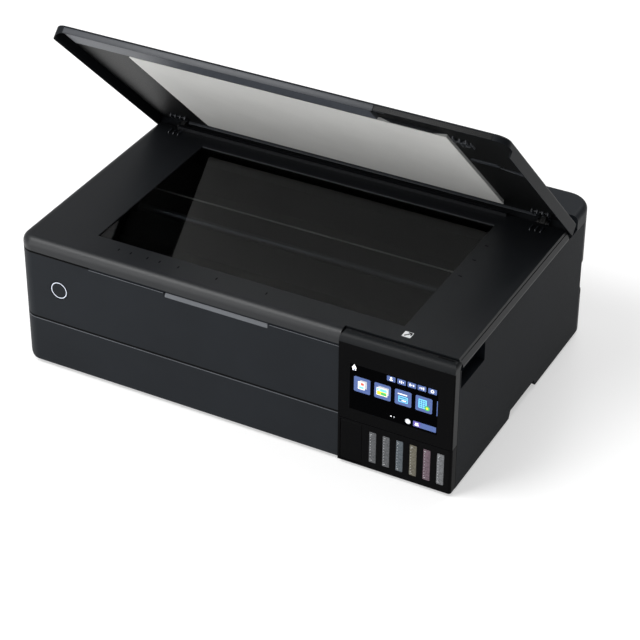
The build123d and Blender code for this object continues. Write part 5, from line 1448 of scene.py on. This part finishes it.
@dataclass
class ScanTrim:
    """The drive belt beside the scan rail and the rim behind the glass, painted pale as a highlight.

    Attributes:
        behind: Depth of the belt behind the rail's middle in millimetres.
        thick: Thickness of the belt.
        belt_z: Lower and upper edge of the belt, from the rail's middle.
        round: Width of the bevel along the belt.
        wall: Thickness of the tray's walls, in which the belt ends.
        land: Width of the glass that lies under the bed.
        rim: Width of the rim.
        height: Height of the rim above the bed.
    """

    behind: float = 42.0
    thick: float = 1.2
    belt_z: Span = Span(-1.4, 0.4)
    round: float = 0.3
    wall: float = 2.0
    land: float = 7.0
    rim: float = 0.8
    height: float = 0.1

    def build(self) -> None:
        """Stretch the belt between the tray's walls and lay the rim."""
        rail, glass = box("scan_rail"), box("scanner_glass")
        y, z = around(rail.y.middle + self.behind, self.thick), self.belt_z.moved(rail.z.middle)
        belt = Shop.slab("scan_belt", box("scanner_tray").x.within(self.wall), y, z)
        dress(Shop.bevel(belt, self.round), Finishes.ACETAL, "scanner")
        y = Span(0, self.rim).moved(glass.y.high - self.land)
        z = Span(0, self.height).moved(bed_top())
        rim = Shop.rib("glass_rim", glass.x.within(self.land), y, z, UP, SLIGHT)
        # The rim's pale finish paints the highlight of the bed's edge behind the glass.
        dress(rim, Finishes.EDGE, "scanner")


@dataclass
class LidLining:
    """What lies under the lid: the document mat, the front grip and the mouldings at its right.

    Sizes are in the lid's own frame, in millimetres: X along the hinge, Y from the front edge to
    the hinge and Z from the mat to the lid's top, with the hinge axis as the origin.

    Attributes:
        sheet: Thickness of the mat's white sheet.
        overhang: How far the sheet stands past the foam.
        sheet_corner: Radius of the sheet's corners.
        sheet_rim: Width and height of the rim of its face.
        grip_start: Distance of the grip from the lining's left end.
        grip_end: X of the grip's right end.
        grip_depth: Depth of the grip from the lid's front wall.
        grip_z: Lower and upper edge of the grip.
        wrap: How far the grip stands before the lid's front wall.
        drops: Steps from the front wall and how far the grip falls there, along the bed's round.
        lean: How far the grip's right end leans out at the front.
        sole_gap: Distance of the smooth sole from both ends of the grip above it.
        sole_y: Y limits of the sole, from the grip's rear.
        sole_z: Z limits of the sole, from the grip's lower edge.
        fascia_gap: Distance of the ribbed fascia from the grip.
        fascia_end: Distance of the fascia from the lining's right end.
        fascia_z: Lower and upper edge of the fascia.
        plate_y: Y limits of its plate from the lid's front wall.
        bars: How many bars it has.
        bar_y: Their Y limits from the lid's front wall.
        bar_z: Their Z limits in the pitch.
        lugs_x: X of the hinge lugs from the hinge's middle.
        lug_width: Width of a lug.
        lug_y: Y limits of the lugs.
        lug_z: Lower edge of the lugs.
        tie_y: Y limits of the bar that ties them.
        tie_height: Its height.
        ribs: X and Y limits and the lower edge of each rib along the front.
        hooks: X and Y limits and the lower edge of each rib of the hooks.
        boss: X and Y limits of the oval boss.
        boss_height: Its height.
        boss_round: Radius of its ends.
        boss_rim: Width of its rim, and height of its floor against the rim.
        gusset: X and Y limits of the gusset at the right wall.
        gusset_z: Its lower edge.
        gusset_tip: Its height at the thin end.
        lip: Y limits of the rear lip.
        lip_z: Its lower edge.
        lip_end: Distance of the lip from the hinge arms' outer faces.
    """

    sheet: float = 0.8
    overhang: float = 0.8
    sheet_corner: float = 1.6
    sheet_rim: Pair = (1.2, 0.05)
    grip_start: float = 12.0
    grip_end: float = 112.0
    grip_depth: float = 31.5
    grip_z: Span = Span(2.65, 8.2)
    wrap: float = 0.5
    drops: tuple[Pair, ...] = ((4.5, 0.4), (1.7, 0.8))
    lean: float = 5.0
    sole_gap: float = 0.5
    sole_y: Span = Span(-26.6, -0.2)
    sole_z: Span = Span(-0.08, 0.5)
    fascia_gap: float = 0.6
    fascia_end: float = 14.0
    fascia_z: Span = Span(3.0, 8.0)
    plate_y: Span = Span(-0.3, 0.4)
    bars: int = 3
    bar_y: Span = Span(-0.65, -0.2)
    bar_z: Span = Span(0.2, 0.9)
    lugs_x: tuple[float, ...] = (-9.4, -3.1, 3.1, 9.4)
    lug_width: float = 1.6
    lug_y: Pair = (-24.0, -13.0)
    lug_z: float = 3.0
    tie_y: Pair = (-21.0, -19.4)
    tie_height: float = 1.6
    ribs: tuple[tuple[Pair, Pair, float], ...] = (
        ((114.0, 246.0), (-286.6, -284.0), 4.4),
        ((114.0, 252.0), (-279.4, -277.8), 5.6),
        ((110.0, 188.0), (-256.2, -254.2), 2.9),
    )
    hooks: tuple[tuple[Pair, Pair, float], ...] = (
        ((190.0, 191.8), (-250.0, -234.0), 3.4),
        ((196.4, 198.2), (-247.0, -226.0), 3.4),
        ((191.8, 203.6), (-241.6, -239.8), 3.8),
        ((203.6, 205.4), (-247.0, -235.0), 3.2),
        ((207.6, 209.0), (-242.0, -224.0), 4.6),
        ((199.0, 206.0), (-231.0, -229.4), 4.0),
    )
    boss: tuple[Pair, Pair] = ((189.5, 222.0), (-181.0, -173.2))
    boss_height: float = 1.3
    boss_round: float = 3.7
    boss_rim: Pair = (1.3, -0.8)
    gusset: tuple[Span, Span] = (Span(221.0, 257.0), Span(-170.6, -168.6))
    gusset_z: float = 3.2
    gusset_tip: float = 0.8
    lip: Pair = (-6.3, -5.1)
    lip_z: float = 4.2
    lip_end: float = 14.0

    @property
    def origin(self) -> Vector:
        """The hinge axis in metres."""
        return Vector(joint("lid_hinge")["pos_m"])

    @property
    def tilt(self) -> float:
        """How far the lid stands open at rest, in radians."""
        return -math.radians(joint("lid_hinge")["range_deg"][0])

    @property
    def front(self) -> float:
        """Y of the lid's front wall."""
        return self.local("lid_shell").y.low

    @property
    def base(self) -> float:
        """Z of the lining's face, on which the mat and the mouldings stand."""
        return self.local("document_mat").z.high

    def local(self, node: str) -> Box:
        """Give a node's limits in the lid's own frame.

        Args:
            node: The node's name.

        Returns:
            Its limits in millimetres.
        """
        turn, origin = Matrix.Rotation(self.tilt, 3, "X"), self.origin
        points = [turn @ (corner.co - origin) for corner in frame["nodes"][node].data.vertices]
        return Box(*(Span(min(values) / MM, max(values) / MM) for values in zip(*points)))

    def hang(self, piece: Piece, finish: Finishes, slot: str = "inner_dark") -> Piece:
        """Turn a piece from the lid's own frame into its place, and dress it.

        Args:
            piece: The piece.
            finish: Its finish.
            slot: Not used.

        Returns:
            The piece.
        """
        piece.rotation_euler = (-self.tilt, 0, 0)
        piece.location = self.origin
        Shop.smooth(Shop.settle(piece), angle=30)
        return dress(piece, finish, "lid")

    def mat(self) -> None:
        """Lay the foam and the white sheet of the document mat."""
        x, y, z = self.local("document_mat")
        parting = z.low + self.sheet
        inner = (x.within(self.overhang), y.within(self.overhang))
        foam = Shop.slab("mat_foam", *inner, (parting, z.high))
        self.hang(Shop.bevel(foam, width=0.5, segments=3), Finishes.FOAM, "mat_grey")
        sheet = Shop.slab("mat_sheet", x, y, (z.low, parting))
        Shop.round_corners(sheet, UP, self.sheet_corner, segments=4)
        Shop.inset(sheet, DOWN, *self.sheet_rim)
        self.hang(Shop.bevel(sheet, width=0.15), Finishes.MAT, "mat_grey")
        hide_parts("document_mat")

    def grip(self) -> None:
        """Lay the smooth grip that wraps the lid's front wall, and its sole."""
        x = Span(box("lid_liner").x.low + self.grip_start, self.grip_end)
        front, waist = self.front, self.grip_z.middle
        rear = front + self.grip_depth
        grip = Shop.slab("lid_grip", x, (front - self.wrap, rear), self.grip_z)
        for step, drop in self.drops:
            line = front + step
            Shop.split(grip, (0, line, 0), REAR)
            Shop.shift(grip, lambda p: p.y < line - SLACK and p.z < waist, (0, 0, -drop))
        Shop.shift(grip, lambda p: p.x > 0 and p.y < front, (self.lean, 0, 0))
        self.hang(Shop.bevel(grip, width=0.5, segments=3, angle=20), Finishes.GRIP)
        y, z = self.sole_y.moved(rear), self.sole_z.moved(self.grip_z.low)
        sole = Shop.bevel(Shop.slab("lid_grip_sole", x.within(self.sole_gap), y, z), width=0.05)
        self.hang(Shop.inset(sole, DOWN, margin=0.4, depth=0.0), Finishes.SOLE)

    def fascia(self) -> None:
        """Lay the dark ribbed fascia right of the grip."""
        start = self.grip_end + self.lean + self.fascia_gap
        x = (start, box("lid_liner").x.high - self.fascia_end)
        low, high = self.fascia_z
        plate = Shop.slab("plate", x, self.plate_y.moved(self.front), (low, high))
        y, z = self.bar_y.moved(self.front), self.bar_z.moved(low)
        bar = Shop.rib("bar", x, y, z, FRONT, taper=0.99)
        pitch = (high - low) / self.bars
        bars = Shop.row(bar, [(0, 0, step * pitch) for step in range(1, self.bars)])
        fascia = Shop.join("lid_fascia", [Shop.bevel(plate, width=0.1), *bars])
        self.hang(fascia, Finishes.LINING)

    def lugs(self) -> None:
        """Lay the lugs that carry the hinge arms, and copy them to the other hinge."""
        base = self.base
        centre = box("lid_hinge_arms").x.high - HINGE_HALF
        first, *others = self.lugs_x
        x = around(centre + first, self.lug_width)
        lug = Shop.rib("lug", x, self.lug_y, (self.lug_z, base), DOWN, taper=0.8)
        lugs = Shop.row(lug, [(place - first, 0, 0) for place in others])
        x = Span(first, others[-1]).moved(centre)
        tie = Shop.rib("tie", x, self.tie_y, (base - self.tie_height, base), DOWN, taper=0.95)
        right = Shop.join("hinge_lugs_right", [*lugs, tie])
        for piece in (right, Shop.copy(right, "hinge_lugs_left", (-2 * centre, 0, 0))):
            self.hang(piece, Finishes.GRIP)

    def mouldings(self) -> None:
        """Lay the ribs, the hooks, the oval boss, the gusset and the rear lip."""
        base = self.base
        ribs = [Shop.rib("rib", x, y, (low, base), DOWN, taper=0.6) for x, y, low in self.ribs]
        self.hang(Shop.join("lid_front_ribs", ribs), Finishes.LID)
        hooks = [
            Shop.rib("hook", x, y, (low, base), DOWN, taper=0.75) for x, y, low in self.hooks
        ]
        self.hang(Shop.join("lid_hooks", hooks), Finishes.GRIP)
        boss = Shop.slab("lid_boss", *self.boss, (base - self.boss_height, base))
        Shop.round_corners(boss, UP, self.boss_round, segments=8)
        Shop.inset(boss, DOWN, *self.boss_rim)
        self.hang(Shop.bevel(boss, width=0.2), Finishes.GRIP)
        z = Span(self.gusset_z, base)
        gusset = Shop.slab("lid_gusset", *self.gusset, z)
        thin = (0, 0, base - self.gusset_tip - self.gusset_z)
        Shop.shift(gusset, lambda p: p.x < self.gusset[0].middle and p.z < z.middle, thin)
        self.hang(Shop.bevel(gusset, width=0.25), Finishes.GRIP)
        reach = box("lid_hinge_arms").x.high - self.lip_end
        z = (self.lip_z, base)
        lip = Shop.rib("lid_rear_lip", (-reach, reach), self.lip, z, DOWN, taper=0.998)
        self.hang(lip, Finishes.GRIP)

    def build(self) -> None:
        """Build everything under the lid."""
        self.mat()
        self.grip()
        self.fascia()
        self.lugs()
        self.mouldings()


@dataclass
class HingeTrim:
    """The rivet heads on the hinge posts and the guide ribs before them.

    Attributes:
        radius: Radius of a rivet head in millimetres.
        height: Height of a rivet head.
        rim: Width and height of the rim of its face.
        guides: X of the guide ribs from the hinge's middle.
        guide_width: Width of a guide rib.
        guide_y: Y limits of the guide ribs.
        guide_height: Height of the guide ribs.
    """

    radius: float = 2.7
    height: float = 0.9
    rim: Pair = (0.8, 0.12)
    guides: tuple[float, ...] = (-6.2, 0.0, 6.2)
    guide_width: float = 1.4
    guide_y: Pair = (83.0, 94.0)
    guide_height: float = 2.3

    def rivets(self) -> None:
        """Turn one rivet head and copy it to the other post."""
        _, y, z = (value / MM for value in joint("lid_hinge")["pos_m"])
        x = box("hinge_posts").x.high + self.height / 2
        head = Shop.disc("rivet_right", (x, y, z), self.radius, self.height, RIGHT, sides=32)
        for side in (RIGHT, LEFT):
            Shop.inset(head, side, *self.rim)
        Shop.smooth(Shop.bevel(head, width=0.15, segments=3))
        for piece in (head, Shop.copy(head, "rivet_left", (-2 * x, 0, 0))):
            dress(piece, Finishes.STEEL, "scanner")

    def ribs(self) -> None:
        """Stand the guide ribs on the bed before both hinges."""
        centre = box("hinge_posts").x.high - HINGE_HALF
        z = Span(0, self.guide_height).moved(bed_top())
        first, *others = self.guides
        x = around(centre + first, self.guide_width)
        rib = Shop.rib("guide", x, self.guide_y, z, UP, taper=0.7)
        ribs = Shop.row(rib, [(place - first, 0, 0) for place in others])
        right = Shop.join("hinge_guides_right", ribs)
        for piece in (right, Shop.copy(right, "hinge_guides_left", (-2 * centre, 0, 0))):
            dress(piece, Finishes.GRIP, "scanner")

    def build(self) -> None:
        """Build the rivets and the ribs."""
        self.rivets()
        self.ribs()


@dataclass
class PanelTrim:
    """Dark strips that paint the shade in the seams round the control panel's hinge barrel.

    Attributes:
        seams: X limits of each seam and the angles of its ends: two round the barrel, and the
            open one behind it.
        sunk: Depth of a seam's root in the barrel.
        height: Height of the painted shade from its root.
    """

    seams: tuple[tuple[Span, Pair], ...] = (
        (Span(249.6, 250.6), (-84.0, 26.0)),
        (Span(254.2, 254.9), (-84.0, 26.0)),
        (Span(237.0, 254.5), (12.0, 24.0)),
    )
    sunk: float = 0.02
    height: float = 0.06

    def build(self) -> None:
        """Turn the painted seam shade about the panel's hinge axis."""
        _, y, z = (value / MM for value in joint("panel_tilt")["pos_m"])
        radius = bed_top() - z - self.sunk
        strips = [Shop.arc("seam", x, (y, z), radius, self.height, ends) for x, ends in self.seams]
        # Near black strips paint the shade of the two grooves and of the gap behind the barrel.
        dress(Shop.join("panel_seams", strips), Finishes.SEAM, "control")


@dataclass
class InkWindows:
    """The clear sight windows in front of the tanks, with their level marks.

    Attributes:
        size: Width and height of a window in millimetres.
        middle: Height of its middle.
        thick: Thickness of the window.
        corner: Radius of its corners.
        rim: Width and height of the rim of its face.
        dots: How many level dots stand in its column.
        dot: Radius of a dot.
        dot_x: Place of the column from the window's middle.
        dot_rim: Width and height of the rim of a dot.
        lines_x: Limits of the two level lines from the window's middle.
        line: Height of a level line.
        ink: Thickness of the marks.
        proud: Distance of their middle from the window's face.
        column: Height of the column as a share of the window's.
        level: Height between the level lines as a share of the window's.
    """

    size: Pair = (7.8, 38.4)
    middle: float = 31.6
    thick: float = 0.55
    corner: float = 0.8
    rim: Pair = (0.7, 0.12)
    dots: int = 9
    dot: float = 0.36
    dot_x: float = -2.4
    dot_rim: Pair = (0.08, 0.01)
    lines_x: Span = Span(-2.8, -0.6)
    line: float = 0.4
    ink: float = 0.06
    proud: float = 0.14
    column: float = 0.75
    level: float = 0.86

    def lens(self, x: float, front: float) -> Piece:
        """Shape one window with a rounded, bevelled edge.

        Args:
            x: Its middle along X.
            front: Depth of the tank's face behind it.

        Returns:
            The window.
        """
        wide, tall = self.size
        y = (front - self.thick, front)
        lens = Shop.slab("window", around(x, wide), y, around(self.middle, tall))
        Shop.round_corners(lens, REAR, self.corner, segments=4)
        Shop.inset(lens, FRONT, *self.rim)
        return Shop.smooth(Shop.bevel(lens, width=0.1), SOFT)

    def marks(self, x: float, front: float) -> Piece:
        """Print the level marks of one window.

        Args:
            x: Middle of the window along X.
            front: Depth of the tank's face.

        Returns:
            The dots and the two level lines, in one mesh.
        """
        y, tall = front - self.thick - self.proud, self.size[1]
        column = around(self.middle, tall * self.column)
        level = around(self.middle, tall * self.level)
        place = (x + self.dot_x, y, column.low)
        dot = Shop.disc("dot", place, self.dot, self.ink, FRONT, sides=12)
        Shop.inset(dot, FRONT, *self.dot_rim)
        pitch = (column.high - column.low) / (self.dots - 1)
        dots = Shop.row(dot, [(0, 0, step * pitch) for step in range(1, self.dots)])
        z = around(level.low, self.line)
        line = Shop.slab("line", self.lines_x.moved(x), around(y, self.ink), z)
        Shop.round_corners(line, REAR, radius=0.15, segments=2)
        lines = Shop.row(line, [(0, 0, level.high - level.low)])
        return Shop.join("marks", [*dots, *lines])

    def build(self) -> None:
        """Build the first window with its marks, and copy both to the other tanks."""
        tanks = [box("tank_" + name) for name in TANKS]
        (x, front), *others = ((tank.x.middle, tank.y.low) for tank in tanks)
        moves = [(a - x, b - front, 0) for a, b in others]
        lens, marks = self.lens(x, front), self.marks(x, front)
        for (name, finish), window in zip(TANKS.items(), Shop.row(lens, moves)):
            dress(Shop.label(window, "window_" + name), finish, "base")
        levels = Shop.join("level_marks", Shop.row(marks, moves))
        dress(levels, Finishes.WHITE_INK, "base")


@dataclass
class RearDetails:
    """Screws and socket contacts on the rear.

    Attributes:
        screws: X and Z of the screws in the rear panel.
        head: Radius of a screw's head in millimetres.
        height: Height of the head.
        dome: Width of the dome's slope as a share of the radius, and its height.
        recess: Width of the flat as a share of the radius, and height of the recess in it.
        contacts: How many contacts the network socket has.
        pitch: Their pitch.
        contacts_x: Place of their middle from the sockets' left end.
        contact: Width of a contact.
        contact_y: Its Y limits from the sockets' rear.
        contact_z: Its Z limits from the sockets' top.
        tongue_x: X limits of the cable socket's tongue from the sockets' right end.
        tongue_y: Its Y limits from the sockets' rear.
        tongue_z: Its Z limits.
    """

    screws: tuple[Pair, ...] = (
        (-205.0, 137.0), (-70.0, 137.0), (70.0, 137.0), (205.0, 137.0), (-178.0, 10.0), (138.0, 10.0),
    )
    head: float = 3.2
    height: float = 1.3
    dome: Pair = (0.35, 0.25)
    recess: Pair = (0.2, -0.8)
    contacts: int = 8
    pitch: float = 1.2
    contacts_x: float = 8.5
    contact: float = 0.56
    contact_y: Span = Span(-9.0, -2.0)
    contact_z: Span = Span(-4.2, -3.6)
    tongue_x: Span = Span(-9.3, -3.7)
    tongue_y: Span = Span(-8.6, -1.0)
    tongue_z: Pair = (82.6, 85.4)

    def screw(self, x: float, z: float) -> Piece:
        """Turn one domed screw head with a recess.

        Args:
            x: Its place along X.
            z: Its place along Z.

        Returns:
            The screw.
        """
        y = box("rear_panel").y.high + self.height / 2
        screw = Shop.disc("screw", (x, y, z), self.head, self.height, FRONT, sides=24)
        for share, height in (self.dome, self.recess):
            Shop.inset(screw, REAR, self.head * share, height)
        return Shop.smooth(Shop.bevel(screw, width=0.25), SOFT)

    def sockets(self) -> None:
        """Lay the row of contacts in the network socket and the tongue in the cable socket."""
        x, y, z = box("rear_ports")
        first = x.low + self.contacts_x - (self.contacts - 1) / 2 * self.pitch
        limits = (self.contact_y.moved(y.high), self.contact_z.moved(z.high))
        contact = Shop.rib("contact", around(first, self.contact), *limits, DOWN, taper=0.7)
        contacts = Shop.row(contact, [(step * self.pitch, 0, 0) for step in range(1, self.contacts)])
        dress(Shop.join("network_contacts", contacts), Finishes.GOLD, "base")
        limits = (self.tongue_x.moved(x.high), self.tongue_y.moved(y.high), self.tongue_z)
        tongue = Shop.rib("cable_tongue", *limits, REAR, taper=0.9)
        dress(tongue, Finishes.ACETAL, "base")

    def build(self) -> None:
        """Turn one screw, copy it to its places, and fill the sockets."""
        (x, z), *others = self.screws
        moves = [(a - x, 0, b - z) for a, b in others]
        for index, screw in enumerate(Shop.row(self.screw(x, z), moves)):
            dress(Shop.label(screw, f"rear_screw_{index}"), Finishes.STEEL, "base")
        self.sockets()


@dataclass(frozen=True)
class Lamp:
    """One soft square lamp.

    Attributes:
        name: Its name.
        place: Its place in metres.
        aim: The point it faces.
        size: Its side in metres.
        power: Its power in watts.
    """

    name: str
    place: Point
    aim: Point
    size: float
    power: float

    def hang(self) -> None:
        """Hang the lamp at its place."""
        data = bpy.data.lights.new(self.name, "AREA")
        data.size = self.size
        data.energy = self.power
        lamp = bpy.data.objects.new(self.name, data)
        bpy.context.collection.objects.link(lamp)
        lamp.location = self.place
        lamp.rotation_mode = "QUATERNION"
        lamp.rotation_quaternion = (Vector(self.aim) - Vector(self.place)).to_track_quat("-Z", "Y")


@dataclass
class Stage:
    """The floor, the lamps and the camera.

    Attributes:
        place: Camera place in metres.
        azimuth: Turn of the camera round the part, in degrees.
        elevation: Height of the camera above the horizon, in degrees.
        roll: Roll of the camera, in degrees.
        lens: Focal length in millimetres.
        sensor: Width of the sensor in millimetres.
        shift: Sideways and upright shift of the frame.
        reach: Farthest distance that the camera sees, in metres.
        floor_size: Side of the floor in metres.
        tone: Grey of the floor that takes light and shadow.
        glow: White that the floor shows by itself.
        surround: Strength of the white surround.
        lamps: The lamps.
    """

    place: Point = (0.95709, -1.80636, 1.39630)
    azimuth: float = 28.556
    elevation: float = 32.973
    roll: float = -0.13
    lens: float = 123.21
    sensor: float = 36.0
    shift: Pair = (0.0451, -0.0550)
    reach: float = 50.0
    floor_size: float = 30.0
    tone: float = 0.62
    glow: float = 0.45
    surround: float = 0.34
    lamps: tuple[Lamp, ...] = (
        Lamp("key", (-1.05, -1.1, 2.1), (0, 0, 0.15), 1.4, 48.0),
        Lamp("front", (-1.0, -1.7, 0.6), (-0.1, 0, 0.25), 1.2, 15.0),
        Lamp("rear", (0.2, 1.6, 2.2), (0, 0, 0.1), 1.4, 26.0),
    )

    def camera(self) -> None:
        """Set the camera at the photograph's place."""
        data = bpy.data.cameras.new("view")
        data.lens = self.lens
        data.sensor_width = self.sensor
        data.shift_x, data.shift_y = self.shift
        data.clip_end = self.reach
        camera = bpy.data.objects.new("view", data)
        bpy.context.collection.objects.link(camera)
        a, e = math.radians(self.azimuth), math.radians(self.elevation)
        back = Vector((math.sin(a) * math.cos(e), -math.cos(a) * math.cos(e), math.sin(e)))
        camera.rotation_mode = "QUATERNION"
        turn = (-back).to_track_quat("-Z", "Y")
        camera.rotation_quaternion = turn @ Quaternion(UP, math.radians(self.roll))
        camera.location = self.place
        bpy.context.scene.camera = camera

    def floor(self) -> None:
        """Lay a wide pale floor that keeps the printer's shadow."""
        bpy.ops.mesh.primitive_plane_add(size=self.floor_size, location=(0, 0, 0))
        floor = Shop.fresh("floor")
        nodes = Nodes("floor_white")
        rays = nodes.add("ShaderNodeLightPath").outputs
        seen = rays["Is Camera Ray"]
        for kind in ("Is Glossy Ray", "Is Transmission Ray"):
            either = nodes.add("ShaderNodeMath", {0: seen, 1: rays[kind]})
            either.operation = "MAXIMUM"
            seen = either.outputs["Value"]
        share = nodes.add("ShaderNodeMath", {0: seen, 1: self.glow})
        share.operation = "MULTIPLY"
        nodes.shade({
            "Base Color": (self.tone, self.tone, self.tone, 1),
            "Roughness": 0.9,
            "Specular IOR Level": 0.0,
            "Emission Color": (1, 1, 1, 1),
            "Emission Strength": share.outputs["Value"],
        })
        floor.data.materials.append(nodes.material)

    def lights(self) -> None:
        """Light the part softly from above left, with a white surround."""
        world = bpy.data.worlds.new("surround")
        bpy.context.scene.world = world
        world.use_nodes = True
        shade = world.node_tree.nodes["Background"]
        shade.inputs["Color"].default_value = (1, 1, 1, 1)
        shade.inputs["Strength"].default_value = self.surround
        for lamp in self.lamps:
            lamp.hang()

    def build(self) -> None:
        """Set the whole stage."""
        self.camera()
        self.floor()
        self.lights()
        bpy.context.scene.view_settings.view_transform = "Standard"


NODE_FINISHES: dict[Finishes, tuple[str, ...]] = {
    Finishes.BODY: (
        "base_tray", "rear_panel", "rear_deck", "front_panel",
        "duplex_cover", "rear_feed_cover", "front_cover", "power_button",
    ),
    # The side panels get the darker copy of the body's plastic, as painted shade.
    Finishes.SIDE: ("left_side_panel", "right_side_panel"),
    Finishes.BED: ("scanner_bed",),
    Finishes.ROD: ("scan_rail",),
    Finishes.LID: ("lid_shell",),
    Finishes.LINING: ("lid_liner", "lid_hinge_arms", "hinge_posts"),
    # The tray's black is deepened with painted shade.
    Finishes.PIT: ("scanner_tray",),
    Finishes.INNER: (
        "scan_head", "card_reader", "panel_bracket", "tank_caps", "tank_cover",
        "cassette_upper", "cassette_lower", "output_tray", "tray_extension", "platen",
        "timing_belt", "capping_station", "maintenance_box", "power_supply", "ac_inlet",
        "edge_guide_left", "edge_guide_right", "print_carriage", "print_head",
    ),
    Finishes.HOUSING: ("panel_housing",),
    Finishes.GLOSS: ("panel_face", "tank_bezel", "card_door"),
    Finishes.SCREEN: ("display",),
    Finishes.SCAN_GLASS: ("scanner_glass",),
    Finishes.MAT: ("document_mat",),
    Finishes.RUBBER: ("rubber_feet",),
    Finishes.STEEL: ("carriage_frame", "rear_ports", "feed_roller", "eject_roller"),
    Finishes.CAN: ("carriage_motor", "feed_motor"),
    Finishes.ACETAL: ("drive_pulley", "idler_pulley", "feed_pinion"),
    Finishes.BOARD: ("main_board",),
    **{finish: ("tank_" + name,) for name, finish in TANKS.items()},
}


def dress_nodes() -> None:
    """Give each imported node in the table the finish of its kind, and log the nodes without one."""
    for finish, names in NODE_FINISHES.items():
        for name in names:
            finish.coat(frame["nodes"][name])
    bare = set(frame["nodes"]) - {name for names in NODE_FINISHES.values() for name in names}
    LOG.info("nodes without a finish: %s", sorted(bare))


def write_size() -> None:
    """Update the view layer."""
    bpy.context.view_layer.update()


def main() -> None:
    """Dress the printer and set the stage."""
    logging.basicConfig(level=logging.INFO, format="%(message)s")
    dress_nodes()
    for part in (
        Screen(), PowerRing(), BedEdge(), FrontStrip(), FrontSeams(), BedMarks(),
        ScanTrim(), LidLining(), HingeTrim(), PanelTrim(), InkWindows(), RearDetails(),
    ):
        part.build()
    Stage().build()
    write_size()


if __name__ == "__main__":
    main()
